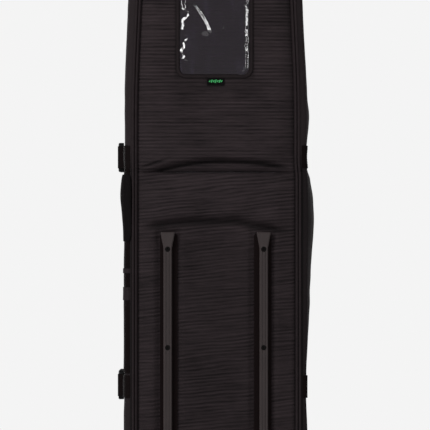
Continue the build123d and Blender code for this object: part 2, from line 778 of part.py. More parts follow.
with BuildPart() as top_handle:
    arch = (TOP_HANDLE_X + 5, TOP_PIN_Z + 27)
    with BuildSketch(Plane.XZ.offset(-TOP_HANDLE_Y - 4)):
        with BuildLine():
            FilletPolyline(
                (-arch[0], TOP_PIN_Z),
                (-arch[0], arch[1]),
                (arch[0], arch[1]),
                (arch[0], TOP_PIN_Z),
                (arch[0] - 10, TOP_PIN_Z),
                (arch[0] - 10, arch[1] - 9),
                (10 - arch[0], arch[1] - 9),
                (10 - arch[0], TOP_PIN_Z),
                radius=(0, 14, 14, 0, 0, 6, 6, 0),
                close=True,
            )
        make_face()
    extrude(amount=8)
    for side in (-1, 1):
        leg = sorted((side * (TOP_HANDLE_X - 5), side * (TOP_HANDLE_X + 5)))
        add(x_cylinder(4, leg, TOP_HANDLE_Y, TOP_PIN_Z))
        add(x_cylinder(2.06, (leg[0] - PAST, leg[1] + PAST), TOP_HANDLE_Y, TOP_PIN_Z), mode=Mode.SUBTRACT)
    with BuildSketch(Plane.YZ.offset(-34)):
        with Locations((TOP_HANDLE_Y, arch[1] - 4.5)):
            RectangleRounded(26, 14, 6.5)
    extrude(amount=68)
finish(top_handle, "top_handle")

# ---- tie-down straps in the tray ----
with BuildPart() as inner_straps:
    lining_y = BACK_Y + LINING
    for z in (450.0, 1150.0):
        with BuildSketch(Plane.XZ.offset(-lining_y - STRAP_THICK)):
            with Locations((0, z)):
                Rectangle(236, STRAP_WIDTH)
        extrude(amount=STRAP_THICK)
finish(inner_straps, "inner_straps")

# ---- wheels ----
for name, side in (("left", -1), ("right", 1)):
    wheel_y, wheel_z = WHEEL_CENTRE[1:]
    middle = side * WHEEL_CENTRE[0]
    wheel_plane = Plane.YZ.offset(middle - WHEEL_WIDTH / 2)

    with BuildPart() as tyre:
        with BuildSketch(wheel_plane):
            with Locations((wheel_y, wheel_z)):
                Circle(WHEEL_R)
                Circle(HUB_R, mode=Mode.SUBTRACT)
        extrude(amount=WHEEL_WIDTH)
        rims = tyre.edges().filter_by(GeomType.CIRCLE).filter_by(lambda edge: edge.radius > WHEEL_R - 1)
        fillet(rims, radius=5)
    finish(tyre, f"wheel_tyre_{name}")

    with BuildPart() as hub:
        with BuildSketch(wheel_plane.offset(1)):
            with Locations((wheel_y, wheel_z)):
                Circle(HUB_R)
                with PolarLocations(20.5, 5):
                    Circle(5.2, mode=Mode.SUBTRACT)
        extrude(amount=WHEEL_WIDTH - 2)
        reach = (middle - WHEEL_WIDTH, middle + WHEEL_WIDTH)
        add(x_cylinder(8, reach, wheel_y, wheel_z), mode=Mode.SUBTRACT)
        for outward in (-1, 1):
            face = middle + outward * (WHEEL_WIDTH / 2 - 1)
            pocket = sorted((face, face - outward * BEARING_WIDTH))
            add(x_cylinder(BEARING_R, pocket, wheel_y, wheel_z), mode=Mode.SUBTRACT)
    finish(hub, f"wheel_hub_{name}")

    with BuildPart() as bearings:
        for outward in (-1, 1):
            face = middle + outward * (WHEEL_WIDTH / 2 - 1)
            pocket = sorted((face, face - outward * BEARING_WIDTH))
            add(x_cylinder(BEARING_R, pocket, wheel_y, wheel_z))
        add(x_cylinder(AXLE_R + 0.05, reach, wheel_y, wheel_z), mode=Mode.SUBTRACT)
    finish(bearings, f"wheel_bearings_{name}")

with BuildPart() as wheel_axles:
    for side in (-1, 1):
        shaft = sorted((side * (CHEEK_X[0] - 3), side * CHEEK_X[1]))
        cap_run = sorted((side * (CHEEK_X[0] - 3), side * CHEEK_X[0]))
        add(x_cylinder(AXLE_R, shaft, WHEEL_CENTRE[1], WHEEL_CENTRE[2]))
        add(x_cylinder(6.5, cap_run, WHEEL_CENTRE[1], WHEEL_CENTRE[2]))
finish(wheel_axles, "wheel_axles")
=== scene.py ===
"""Looks of a wheeled snowboard bag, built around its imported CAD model.

Metres, in the CAD model's frame: +Z runs up the standing bag, and its back, which carries the
rails, faces -Y. Fabric pieces are closed shells laid on the bag's outline and softened by one
shared displacement, so that seams, tapes and webbing stay on the cloth they are sewn to.
"""
import functools
import json
import math

import bmesh
import bpy
import numpy as np
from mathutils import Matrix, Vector

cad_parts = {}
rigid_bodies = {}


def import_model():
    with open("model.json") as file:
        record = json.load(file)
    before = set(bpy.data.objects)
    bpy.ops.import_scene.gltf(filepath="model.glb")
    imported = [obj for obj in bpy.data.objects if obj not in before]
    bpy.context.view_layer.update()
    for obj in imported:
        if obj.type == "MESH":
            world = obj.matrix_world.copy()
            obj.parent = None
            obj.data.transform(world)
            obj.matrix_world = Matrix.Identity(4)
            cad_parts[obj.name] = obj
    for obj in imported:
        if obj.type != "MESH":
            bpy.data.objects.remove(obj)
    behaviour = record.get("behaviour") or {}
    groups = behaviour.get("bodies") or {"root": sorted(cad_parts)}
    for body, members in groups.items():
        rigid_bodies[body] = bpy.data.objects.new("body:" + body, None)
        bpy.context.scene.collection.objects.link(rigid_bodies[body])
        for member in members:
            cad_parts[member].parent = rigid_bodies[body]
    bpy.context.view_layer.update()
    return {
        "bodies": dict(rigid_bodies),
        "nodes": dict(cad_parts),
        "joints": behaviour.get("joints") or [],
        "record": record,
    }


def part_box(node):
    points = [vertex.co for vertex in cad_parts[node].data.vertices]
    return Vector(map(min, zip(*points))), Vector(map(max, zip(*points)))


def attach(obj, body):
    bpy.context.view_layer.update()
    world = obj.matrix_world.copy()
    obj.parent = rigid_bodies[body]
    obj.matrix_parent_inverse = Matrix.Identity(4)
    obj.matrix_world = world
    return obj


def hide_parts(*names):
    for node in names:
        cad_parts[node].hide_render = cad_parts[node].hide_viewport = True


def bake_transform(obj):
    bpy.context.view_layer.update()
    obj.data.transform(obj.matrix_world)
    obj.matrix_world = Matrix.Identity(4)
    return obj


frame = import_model()

# ---- driving dimensions, read from the frame ----
SIDE_LOW, SIDE_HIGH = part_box("side_panel_left")
LID_LOW, LID_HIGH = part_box("lid_side_band")
HALF_WIDTH = -SIDE_LOW.x
BACK_Y, TRAY_EDGE_Y = SIDE_LOW.y, SIDE_HIGH.y
END_Z = SIDE_LOW.z, SIDE_HIGH.z
LID_EDGE_Y, FRONT_Y = LID_LOW.y, LID_HIGH.y
BASE_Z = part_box("bottom_end_panel")[0].z
TOP_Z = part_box("top_end_panel")[1].z
CROSS_SEAM_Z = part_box("back_panel_lower")[1].z
HINGE_Z = tuple(corner.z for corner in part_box("hinge_fabric_tray"))
BED_LOW, BED_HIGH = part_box("rail_beds")
BED_X = 0.0798
BED_HALF_WIDTH = BED_HIGH.x - BED_X
FRAME_LOW, FRAME_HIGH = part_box("window_binding")
CAP_BACK_Z = 0.115
KICK_TOP_Z = 0.205
KICK_HALF_WIDTH = 0.125
STRAP_NAMES = ("lower", "middle", "upper")
STRAP_Z = tuple(sum(corner.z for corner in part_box(f"buckle_prongs_{name}")) / 2 for name in STRAP_NAMES)
STRAP_WIDTH = 0.038
STRAP_LIFT = 0.0004
STRAP_THICK = 0.0016

# ---- the outline's own numbers, as in the CAD source ----
TOP_HALF_WIDTH = 0.128
TAPER_Z = 1.0
BASE_CORNER = 0.034
TOP_CORNER = 0.080
TAPER_BEND = 2.5
BACK_RADIUS = 0.016
FRONT_RADIUS = 0.026
FABRIC = 0.0025
FOAM = 0.0075
LINING = 0.0085
BACK_SEAM = (0.0165, 0.025)
LID_SEAM = (0.026, 0.030)
AXLE_Y, AXLE_Z = -0.072, 0.044
WELL_REACH = 0.0498
WELL_X = (0.1092, 0.1533)
BOARD_HALF_WIDTH, BOARD_TOP_Z = 0.1215, 0.852
POCKET_FOOT, POCKET_HEAD = (-0.107, 0.923), (0.107, 1.237)  # the box kept flat under the pocket


# ---- small numeric helpers ----
def smooth(t):
    t = np.clip(t, 0.0, 1.0)
    return t * t * (3 - 2 * t)


def hump(value, middle, width):
    return np.exp(-(((value - middle) / width) ** 2))


def arch(t):
    """A half round over t from -1 to 1."""
    return np.sqrt(np.maximum(0, 1 - np.square(t)))


def humps(value, table):
    """A sum of humps, each given as its height, middle and width."""
    return sum(height * hump(value, middle, width) for height, middle, width in table)


def xyz(x, y, z):
    """Points from their coordinates, which only have to fit each other's shapes."""
    return np.stack(np.broadcast_arrays(x, y, z), axis=-1)


def unit(vectors):
    """Each row of vectors at length 1."""
    return vectors / np.maximum(np.linalg.norm(vectors, axis=1), 1e-9)[:, None]


def ripple(a, b, seed):
    """A soft, repeatable unevenness between about -1 and 1 over two directions, waves per metre."""
    total = 0.0
    for k in range(4):
        total = total + np.sin(a * (1.0 + 0.61 * k) + b * (0.8 - 0.47 * k) + seed * (1.7 + k))
    return total / 3


def rounded(corners, radii, step=0.0015):
    """The points of a line through corners, with each inner corner rounded to its radius."""
    corners = [np.array(corner, float) for corner in corners]
    line = [corners[0]]
    for before, corner, after, radius in zip(corners, corners[1:], corners[2:], radii):
        a = (before - corner) / np.linalg.norm(before - corner)
        b = (after - corner) / np.linalg.norm(after - corner)
        half = math.acos(float(np.clip(a @ b, -1, 1))) / 2
        turn = math.pi - 2 * half
        middle = corner + (a + b) / np.linalg.norm(a + b) * radius / math.sin(half)
        u, v = (corner + d * radius / math.tan(half) - middle for d in (a, b))
        count = max(4, math.ceil(turn * radius / step))
        for t in np.linspace(0, 1, count + 1):
            line.append(middle + (math.sin((1 - t) * turn) * u + math.sin(t * turn) * v) / math.sin(turn))
    line.append(corners[-1])
    return np.array(line)


def lengths(line):
    """The distance along a line at each of its points."""
    return np.concatenate([[0.0], np.cumsum(np.linalg.norm(np.diff(line, axis=0), axis=1))])


def spaced(line, step=None, at=None):
    """Points along a line, about step apart or at the given distances."""
    along = lengths(line)
    if at is None:
        at = np.linspace(0, along[-1], max(2, round(along[-1] / step) + 1))
    return np.stack([np.interp(at, along, line[:, k]) for k in range(line.shape[1])], axis=1)


# ---- the bag's outline, once round from the middle of the base by the left side ----
OUTLINE = spaced(
    rounded(
        [
            (0, BASE_Z),
            (-HALF_WIDTH, BASE_Z),
            (-HALF_WIDTH, TAPER_Z),
            (-TOP_HALF_WIDTH, TOP_Z),
            (TOP_HALF_WIDTH, TOP_Z),
            (HALF_WIDTH, TAPER_Z),
            (HALF_WIDTH, BASE_Z),
            (0, BASE_Z),
        ],
        (BASE_CORNER, TAPER_BEND, TOP_CORNER, TOP_CORNER, TAPER_BEND, BASE_CORNER),
    ),
    step=0.001,
)
OUTLINE_AT = lengths(OUTLINE)
GIRTH = OUTLINE_AT[-1]
heading = unit(np.roll(OUTLINE[:-1], -1, axis=0) - np.roll(OUTLINE[:-1], 1, axis=0))
INWARD = np.stack([heading[:, 1], -heading[:, 0]], axis=1)
INWARD = np.concatenate([INWARD, INWARD[:1]])
LEFT = slice(
    int(np.searchsorted(OUTLINE_AT, HALF_WIDTH - BASE_CORNER)),
    int(np.searchsorted(OUTLINE[: len(OUTLINE) // 2, 1], TOP_Z - 1e-6)) + 1,
)


def left_at(z):
    """How far round the outline the left side is at height z."""
    return float(np.interp(z, OUTLINE[LEFT, 1], OUTLINE_AT[LEFT]))


def right_at(z):
    return GIRTH - left_at(z)


def half_width(z, inset=0.0):
    """Half the bag's width at height z, a little in from the outline."""
    pulled = OUTLINE[LEFT] + INWARD[LEFT] * inset
    return -np.interp(z, pulled[:, 1], pulled[:, 0])


def on_outline(at):
    """Places and inward directions at distances round the outline."""
    at = np.mod(at, GIRTH)
    place = [np.interp(at, OUTLINE_AT, OUTLINE[:, k]) for k in (0, 1)]
    inward = [np.interp(at, OUTLINE_AT, INWARD[:, k]) for k in (0, 1)]
    return place, inward


# ---- the cloth's shared softness ----
STRAP_FOLD_Z = 0.874  # where the middle strap pulls the right wall's belly in
CREASE_REACH = 0.131  # how far from the middle the back's creases run
LOOSE_Z = 0.880  # the cloth hangs looser below this height
FULL_Z = 0.90  # seams and sides lie in deeper shade below this height
WINDOW_FOOT_Z = 1.000  # the cloth is drawn in along the window's lower edge


# The walls' bulges and hollows up the bag: how far out, at what height and how wide.
RIGHT_BULGES = (
    (0.0055, 0.650, 0.085), (-0.0045, 0.888, 0.020), (-0.0078, 0.495, 0.040), (0.0048, 0.955, 0.034),
    (0.0035, 0.300, 0.110),
)
LEFT_BULGES = (
    (-0.0012, 0.660, 0.090), (-0.0030, 0.752, 0.034), (-0.0022, 0.866, 0.014), (-0.0020, 0.925, 0.050),
    (-0.0010, 0.560, 0.040), (0.0014, 0.440, 0.040), (0.0030, 0.280, 0.110),
)
HIGH_BULGES = ((0.0025, 1.410, 0.090), (-0.0022, STRAP_Z[2], 0.030))


def side_bulge(x, z):
    """How far the side walls of the tray stand out, in metres."""
    belly = 0.0128 * hump(z, 0.785, 0.080) * smooth((STRAP_FOLD_Z - z) / 0.026)
    right = belly + humps(z, RIGHT_BULGES) - 0.0030 * smooth((z - TAPER_Z) / 0.12)
    uneven = 0.0004 * ripple(z * 61, x * 3, 1.0)
    every = np.where(x > 0, right, humps(z, LEFT_BULGES)) + humps(z, HIGH_BULGES) + uneven
    return every * smooth((z - 0.125) / 0.06)


def seam_drift(x, z):
    """How far the back's edge seams have crept outwards round the bag's corners."""
    right = 0.0022 + 0.0020 * smooth((LOOSE_Z - z) / 0.030)
    ends = smooth((z - 0.220) / 0.10) * smooth((1.400 - z) / 0.15)
    return np.where(x > 0, right, 0.0014) * ends * smooth((np.abs(x) - half_width(z) + 0.046) / 0.020)


def fold_height(x):
    """The height of the slack fold above the cross seam, which arches over the panel."""
    left = 0.0120 * (-np.minimum(x, 0) / 0.082) ** 1.7
    right = 0.0056 * (np.maximum(x, 0) / 0.090) ** 2.4
    return CROSS_SEAM_Z + 0.0174 - np.minimum(left + right, 0.0158)


def pillow_foot(x):
    """The height of the dent between the slack roll and the rails, lower to the right."""
    left = 0.0065 * (np.minimum(x, 0) / 0.103) ** 2
    right = 0.0115 * smooth((x - 0.030) / 0.045) + 0.0100 * smooth((x - 0.075) / 0.050)
    return 0.7748 - left - 0.8 * right


def box_distance(x, z, low, high):
    """How far each point is outside a box in the XZ plane."""
    dx = np.maximum(np.maximum(low[0] - x, x - high[0]), 0)
    dz = np.maximum(np.maximum(low[1] - z, z - high[1]), 0)
    return np.hypot(dx, dz)


def roll(d, rise, fall, height):
    """A slack roll of cloth: a steep under side that starts at d = 0 and a long, soft upper side."""
    return height * smooth(d / rise) * (1 - smooth((d - rise) / fall))


def crease_line(x):
    """The short slanting crease where the fold meets the left seam."""
    return CROSS_SEAM_Z + 0.0075 + 0.33 * (x + 0.126)


def fold_shares(x, z):
    """How deep each point lies in a crease of the back, between 0 and 1, for relief and shade."""
    across = smooth((CREASE_REACH - np.abs(x)) / 0.030)
    arc = z - fold_height(x)
    upper = across * smooth((x + 0.112) / 0.024) * hump(arc, 0.0, np.where(arc > 0, 0.0040, 0.0032))
    slant = 0.85 * hump(z - crease_line(x), 0.0, 0.0025) * hump(x, -0.106, 0.022)
    upper = np.maximum(upper, slant)
    foot = z - pillow_foot(x)
    lower = 0.80 * across * hump(foot, 0.0, np.where(foot > 0, 0.0062, 0.0056))
    seam = 0.50 * hump(z, CROSS_SEAM_Z, 0.0017) * across
    return np.clip(np.where(z > CROSS_SEAM_Z + 0.0012, upper, lower) + seam, 0, 1)


def back_shade(x, z):
    """Painted shade for the back's colour, between 0 and 1: creases, the broad soft shades of slack cloth,
    darker low down by the rails, the tucks at the edge seams and a dark line round the window frame.
    """
    edge = half_width(z, BACK_SEAM[1]) - np.abs(x)
    under_window = 0.16 * hump(z, WINDOW_FOOT_Z, 0.011) * smooth((0.095 - np.abs(x)) / 0.03)
    by_seams = 0.24 * hump(edge, 0.004, 0.009) * np.where(x > 0, 1.0, 0.15) * smooth((z - LOOSE_Z) / 0.03)
    by_rails = 0.20 * smooth((0.756 - z) / 0.020) * smooth((0.130 - np.abs(x)) / 0.05)
    in_fold = 0.10 * smooth((z - CROSS_SEAM_Z) / 0.002) * smooth((fold_height(x) - z) / 0.006)
    frame = box_distance(x, z, (FRAME_LOW.x, FRAME_LOW.z), (FRAME_HIGH.x, FRAME_HIGH.z))
    outline = 0.45 * hump(frame, 0.0006, 0.0013)
    tuck = (0.45 + 0.30 * smooth((FULL_Z - z) / 0.04)) * hump(edge, -0.0006, 0.0024)
    broad = under_window + by_seams + by_rails + in_fold
    return np.clip(fold_shares(x, z) * 0.85 + broad + tuck + outline, 0, 1)


def back_relief(x, z):
    """How far the back's fabric stands out of its flat CAD face."""
    edge = half_width(z, BACK_SEAM[1]) - np.abs(x)
    ends = np.minimum(z - BASE_Z - BACK_SEAM[1], TOP_Z - BACK_SEAM[1] - z)
    border = np.minimum(edge, ends)
    crown = 0.0040 * smooth(border / 0.026)
    crown = crown * (0.20 + 0.80 * smooth(np.abs(z - CROSS_SEAM_Z) / 0.014))
    across = smooth((CREASE_REACH - np.abs(x)) / 0.040)
    upper = across * roll(z - fold_height(x), 0.0115, 0.060, 0.0075)
    pillow = across * roll(z - pillow_foot(x), 0.016, 0.070, 0.0078)
    lower = np.where(z < CROSS_SEAM_Z, pillow * smooth((CROSS_SEAM_Z - 0.001 - z) / 0.030), 0.0)
    window = 0.0016 * hump(z, WINDOW_FOOT_Z, 0.012) * hump(x, 0, 0.080)
    waves = 0.00075 * ripple(x * 34 + 2, z * 47, 2.0) * smooth(border / 0.012)
    tuck = -0.0022 * hump(border, 0.0010, 0.0024)
    stitched = -0.0022 * hump(z, CROSS_SEAM_Z, 0.0024)
    darken_by_painted_shade = -0.0042 * fold_shares(x, z)
    total = crown + np.where(z > CROSS_SEAM_Z, upper, lower) - window + waves
    for bed_x in (-BED_X, BED_X):
        gap = box_distance(x, z, (bed_x - BED_HALF_WIDTH, BED_LOW.z), (bed_x + BED_HALF_WIDTH, BED_HIGH.z))
        total = total * smooth(gap / 0.012)
        darken_by_painted_shade = darken_by_painted_shade * smooth(gap / 0.004)
    kick = box_distance(x, z, (-KICK_HALF_WIDTH, 0.0), (KICK_HALF_WIDTH, KICK_TOP_Z))
    total = total * smooth(kick / 0.012) * smooth((z - CAP_BACK_Z) / 0.012)
    total = total + darken_by_painted_shade
    boarded = (np.abs(x) < BOARD_HALF_WIDTH) & (z < BOARD_TOP_Z)
    return np.where(boarded, np.maximum(total, 0.0003), total) + tuck + stitched


def lid_relief(x, z):
    """How far the lid's front stands out of its flat CAD face."""
    ends = np.minimum(z - 0.048, TOP_Z - LID_SEAM[0] - z)
    border = np.minimum(half_width(z, LID_SEAM[0]) - np.abs(x), ends)
    crown = 0.0052 * smooth(border / 0.055)
    for strap in STRAP_Z:
        crown = crown * (1 - 0.62 * hump(z, strap, 0.030))
    pocket = box_distance(x, z, POCKET_FOOT, POCKET_HEAD)
    waves = 0.0011 * ripple(x * 21, z * 26, 4.0) * smooth(border / 0.03)
    return (crown + waves) * (0.10 + 0.90 * smooth(pocket / 0.020))


BACK_SOFT_Y, BACK_SOFT_DEPTH = -0.076, 0.010  # the back's relief fades in from here towards -Y
FRONT_SOFT_Y, FRONT_SOFT_DEPTH = 0.070, 0.014  # and the lid's from here towards +Y
TRAY_BELLY = (-0.030, 0.058)  # the middle of the tray wall's bulge in y, and its reach to either side
LID_BELLY = (0.068, 0.016)
LID_WALL_BULGE = 0.0016


def belly_share(y, belly):
    """How much of a wall's bulge a place has, from 0 at its edges to 1 at its middle."""
    middle, reach = belly
    return np.clip(1 - ((y - middle) / reach) ** 2, 0, 1)


def soften(points):
    """Moves points of fabric, given at their CAD places, to where the cloth really lies."""
    x, y, z = points[..., 0], points[..., 1], points[..., 2]
    back = smooth((BACK_SOFT_Y - y) / BACK_SOFT_DEPTH)
    front = smooth((y - FRONT_SOFT_Y) / FRONT_SOFT_DEPTH)
    lid_wall = belly_share(y, LID_BELLY) * LID_WALL_BULGE
    lid_wall = lid_wall * (1 + ripple(z * 48, y * 20, 6.0)) * smooth((half_width(z) - 0.11) / 0.02)
    walls = belly_share(y, TRAY_BELLY) * side_bulge(x, z) + lid_wall
    sideways = np.sign(x) * smooth(np.abs(x) / 0.12) * walls
    sideways = sideways + np.sign(x) * back * seam_drift(x, z)
    depth = front * lid_relief(x, z) - back * back_relief(x, z)
    return xyz(x + sideways, y + depth, z)


# ---- meshes ----
def mesh_piece(name, points, faces, material, uv=None, sharp=38.0):
    """A mesh object with its material, in the frame's own place."""
    data = bpy.data.meshes.new(name)
    data.from_pydata(np.asarray(points, float).reshape(-1, 3).tolist(), [], faces)
    if uv is not None:
        corner = np.zeros(len(data.loops), np.int32)
        data.loops.foreach_get("vertex_index", corner)
        layer = data.uv_layers.new(name="cloth")
        layer.data.foreach_set("uv", np.asarray(uv, np.float32).reshape(-1, 2)[corner].ravel())
    work = bmesh.new()
    work.from_mesh(data)
    bmesh.ops.recalc_face_normals(work, faces=work.faces)
    work.to_mesh(data)
    work.free()
    data.shade_smooth()
    data.set_sharp_from_angle(angle=math.radians(sharp))
    piece = bpy.data.objects.new(name, data)
    bpy.context.scene.collection.objects.link(piece)
    data.materials.append(material)
    return piece


def grid_faces(rows, columns, wrap, start=0):
    """The quads of a grid of points, optionally joined from its last row to its first."""
    i, j = np.meshgrid(np.arange(rows if wrap else rows - 1), np.arange(columns - 1), indexing="ij")
    ahead = (i + 1) % rows
    near, far = i * columns + j, ahead * columns + j
    return (np.stack([near, near + 1, far + 1, far], axis=-1).reshape(-1, 4) + start).tolist()


def shell_parts(outer, inner, wrap=False, start=0):
    """The points and faces of a closed sheet between two matching grids."""
    rows, columns = outer.shape[:2]
    half = rows * columns
    faces = grid_faces(rows, columns, wrap, start) + grid_faces(rows, columns, wrap, start + half)
    index = np.arange(half).reshape(rows, columns) + start
    borders = [index[:, 0], index[:, -1]]
    if wrap:
        borders = [np.append(border, border[0]) for border in borders]
    else:
        borders += [index[0], index[-1]]
    for border in borders:
        for a, b in zip(border[:-1].tolist(), border[1:].tolist()):
            faces.append((a, b, b + half, a + half))
    return np.concatenate([outer.reshape(-1, 3), inner.reshape(-1, 3)]), faces


def grid_uv(grid):
    """Distances along and across a grid of points, for weaves that follow the cloth."""
    down = np.linalg.norm(np.diff(grid, axis=0), axis=2).mean(1)
    across = np.linalg.norm(np.diff(grid, axis=1), axis=2).mean(0)
    u = np.concatenate([[0], np.cumsum(down)])
    v = np.concatenate([[0], np.cumsum(across)])
    return np.stack(np.meshgrid(u, v, indexing="ij"), axis=-1)


def shell(name, outer, inner, material, slot, wrap=False, uv=None):
    """A closed sheet of fabric between two matching grids of points."""
    points, faces = shell_parts(outer, inner, wrap)
    uv = grid_uv(outer) if uv is None else uv
    return mesh_piece(name, points, faces, material, np.concatenate([uv.reshape(-1, 2)] * 2))


def joined(name, parts, material, slot):
    """One piece made of several closed shells, each given as its outer and inner grid."""
    points, faces, uv, start = [], [], [], 0
    for outer, inner in parts:
        more, quads = shell_parts(outer, inner, False, start)
        points.append(more)
        faces += quads
        uv += [grid_uv(outer).reshape(-1, 2)] * 2
        start += len(more)
    return mesh_piece(name, np.concatenate(points), faces, material, np.concatenate(uv))


def ring_turns(sides):
    """Angles once round a ring, without the last, which is the first again."""
    return np.arange(sides) / sides * 2 * math.pi


def ring_points(across, up, wide, tall, sides):
    """Rings round the rows of a line, wide in the direction across and tall in the direction up."""
    turn = ring_turns(sides)[None, :, None]
    return across[:, None] * np.cos(turn) * wide + up[:, None] * np.sin(turn) * tall


def ring_faces(rows, sides, closed=False):
    """The faces of a skin over a row of rings, joined to a loop or closed at both ends."""
    index = np.arange(rows * sides).reshape(rows, sides)
    near, far = (index, np.roll(index, -1, axis=0)) if closed else (index[:-1], index[1:])
    quads = np.stack([near, np.roll(near, -1, axis=1), np.roll(far, -1, axis=1), far], axis=-1)
    ends = [] if closed else [index[0].tolist(), index[-1].tolist()]
    return quads.reshape(-1, 4).tolist() + ends


def cord_loop(name, line, radius, material, slot, sides=8):
    """A round cord along a closed line."""
    ahead = unit(np.roll(line, -1, axis=0) - np.roll(line, 1, axis=0))
    out = unit(np.cross(ahead, np.broadcast_to([0.0, 1.0, 0.0], ahead.shape)))
    points = line[:, None] + ring_points(out, np.cross(out, ahead), radius, radius, sides)
    return mesh_piece(name, points, ring_faces(len(line), sides, True), material, sharp=60)


def pills(name, middles, along, out, length, width, height, material, slot, sides=6):
    """Many small rounded threads or teeth: middles, their long directions and outward directions."""
    along = unit(along)
    side = unit(np.cross(along, out))
    ring = ring_points(side, np.cross(side, along), width / 2, height / 2, sides)
    middle, reach = middles[:, None], along[:, None] * length
    shoulders = [middle + reach * share + ring for share in (-0.36, 0.36)]
    points = np.concatenate([middle - reach / 2, *shoulders, middle + reach / 2], axis=1)
    each = 2 * sides + 2
    faces = []
    for k in range(sides):
        n = (k + 1) % sides
        faces.append((0, 1 + n, 1 + k))
        faces.append((1 + k, 1 + n, 1 + sides + n, 1 + sides + k))
        faces.append((1 + sides + k, 1 + sides + n, each - 1))
    starts = range(0, len(middles) * each, each)
    every = [tuple(corner + start for corner in face) for start in starts for face in faces]
    return mesh_piece(name, points, every, material, sharp=80)


STITCH_PITCH = 0.0042
STITCH_SIZE = (0.0031, 0.0008, 0.0007)  # length, width and height of one thread


def stitching(name, runs, material, slot):
    """Sewn threads along several lines, each with its outward direction."""
    stitches = []
    for line, outward in runs:
        end = lengths(line)[-1]
        ends = spaced(line, at=np.linspace(0, end, max(2, round(end / STITCH_PITCH)) + 1))
        along = np.diff(ends, axis=0)
        out = np.broadcast_to(np.asarray(outward, float), along.shape)
        stitches.append(((ends[:-1] + ends[1:]) / 2, along, out))
    places = [np.concatenate(column) for column in zip(*stitches)]
    return pills(name, *places, *STITCH_SIZE, material, slot, sides=5)


# ---- shapes laid on the outline ----
def edge_section(depth, start, face_y, radius, end_y, ridge=0.0, steps=12):
    """(inset, y) points of a wall: from start on the face, round its long edge, to end_y."""
    way = 1.0 if end_y > face_y else -1.0
    points = [(start, face_y + way * depth)]
    if ridge:
        points.append((radius + 0.0008, face_y - way * ridge * 0.35))
        points.append((radius - 0.0008, face_y - way * ridge))
        points.append((radius - 0.0026, face_y - way * ridge * 0.55))
        turns = np.radians(np.linspace(20, 90, 8))
    else:
        turns = np.radians(np.linspace(0, 90, 9))
    for turn in turns:
        bend = radius - depth
        points.append((radius - bend * math.sin(turn), face_y + way * (radius - bend * math.cos(turn))))
    for y in np.linspace(face_y + way * radius, end_y, steps + 1)[1:]:
        points.append((depth, y))
    return np.array(points)


def band_grid(at, section):
    """Points of a strip: distances round the outline by (inset, y) places across it."""
    (x, z), (nx, nz) = on_outline(at)
    inset, y = section[:, 0], section[:, 1]
    return xyz(x[:, None] + nx[:, None] * inset, y, z[:, None] + nz[:, None] * inset)


def shaded(piece, share):
    """Gives a piece its painted shade, one value a vertex, which its material takes off its colour."""
    layer = piece.data.attributes.new("painted_shade", "FLOAT", "POINT")
    layer.data.foreach_set("value", np.asarray(share, np.float32).ravel())
    return piece


def band(name, span, outer, inner, material, slot, wrap=False, step=0.005, shade=None):
    """A closed strip of cloth round the outline, between two sections, softened."""
    count = round((span[1] - span[0]) / step)
    at = np.linspace(span[0], span[1], count + 1)
    at = at[:-1] if wrap else at
    sections = (outer, inner)
    grids = [band_grid(at, section) for section in sections]
    piece = shell(name, *map(soften, grids), material, slot, wrap)
    return shaded(piece, list(map(shade, grids, sections))) if shade else piece


def distinct(rows, gap):
    """Sorted row heights without those closer to the one below than the gap."""
    rows = np.unique(np.round(rows, 5))
    return rows[np.concatenate([[True], np.diff(rows) > gap])]


def plate_rows(low, high, inset, coarse=0.005, fine=()):
    """Row heights for a flat panel, closer together round its corners and in fine stretches."""
    rows = [np.arange(low, high, coarse), [high]]
    for corner, end, way in ((BASE_CORNER, BASE_Z, 1), (TOP_CORNER, TOP_Z, -1)):
        turns = np.radians(np.linspace(0, 90, 10))
        rows.append(end + way * (inset + (corner - inset) * (1 - np.cos(turns))))
    for start, stop, step in fine:
        rows.append(np.arange(start, stop, step))
    rows = np.round(np.concatenate(rows), 5)
    return distinct(rows[(rows >= low - 1e-6) & (rows <= high + 1e-6)], 0.0004)


def plate(name, rows, inset, y, thickness, columns, material, slot):
    """A flat panel of cloth filling the outline, softened. Positive thickness goes towards +Y."""
    across = np.linspace(-1, 1, columns + 1)
    x = half_width(rows, inset)[:, None] * across
    z = np.broadcast_to(rows[:, None], x.shape)
    outer, inner = (soften(xyz(x, depth, z)) for depth in (y, y + thickness))
    piece = shell(name, outer, inner, material, slot, uv=np.stack([x, z], axis=-1))
    # back panels get the painted shade of back_shade in their colour
    return shaded(piece, [back_shade(x, z)] * 2) if y <= BACK_Y else piece


WELL_CUTTERS = []
for side in (-1, 1):
    bpy.ops.mesh.primitive_cylinder_add(
        vertices=72,
        radius=WELL_REACH,
        depth=WELL_X[1] - WELL_X[0],
        location=(side * sum(WELL_X) / 2, AXLE_Y, AXLE_Z),
        rotation=(0, math.pi / 2, 0),
    )
    WELL_CUTTERS.append(bpy.context.object)
    bpy.context.object.hide_render = True


def cut_wells(piece):
    """Cuts the wheel housings' space out of a fabric piece."""
    for cutter in WELL_CUTTERS:
        cut = piece.modifiers.new("well", "BOOLEAN")
        cut.operation = "DIFFERENCE"
        cut.solver = "EXACT"
        cut.object = cutter
    settled = bpy.data.meshes.new_from_object(piece.evaluated_get(bpy.context.evaluated_depsgraph_get()))
    piece.modifiers.clear()
    piece.data = settled
    return piece


# ---- materials ----
PAINTED_SHADE_DEPTH = 0.92  # how much of its colour the painted shade takes away where it is deepest, as in the deepest crease
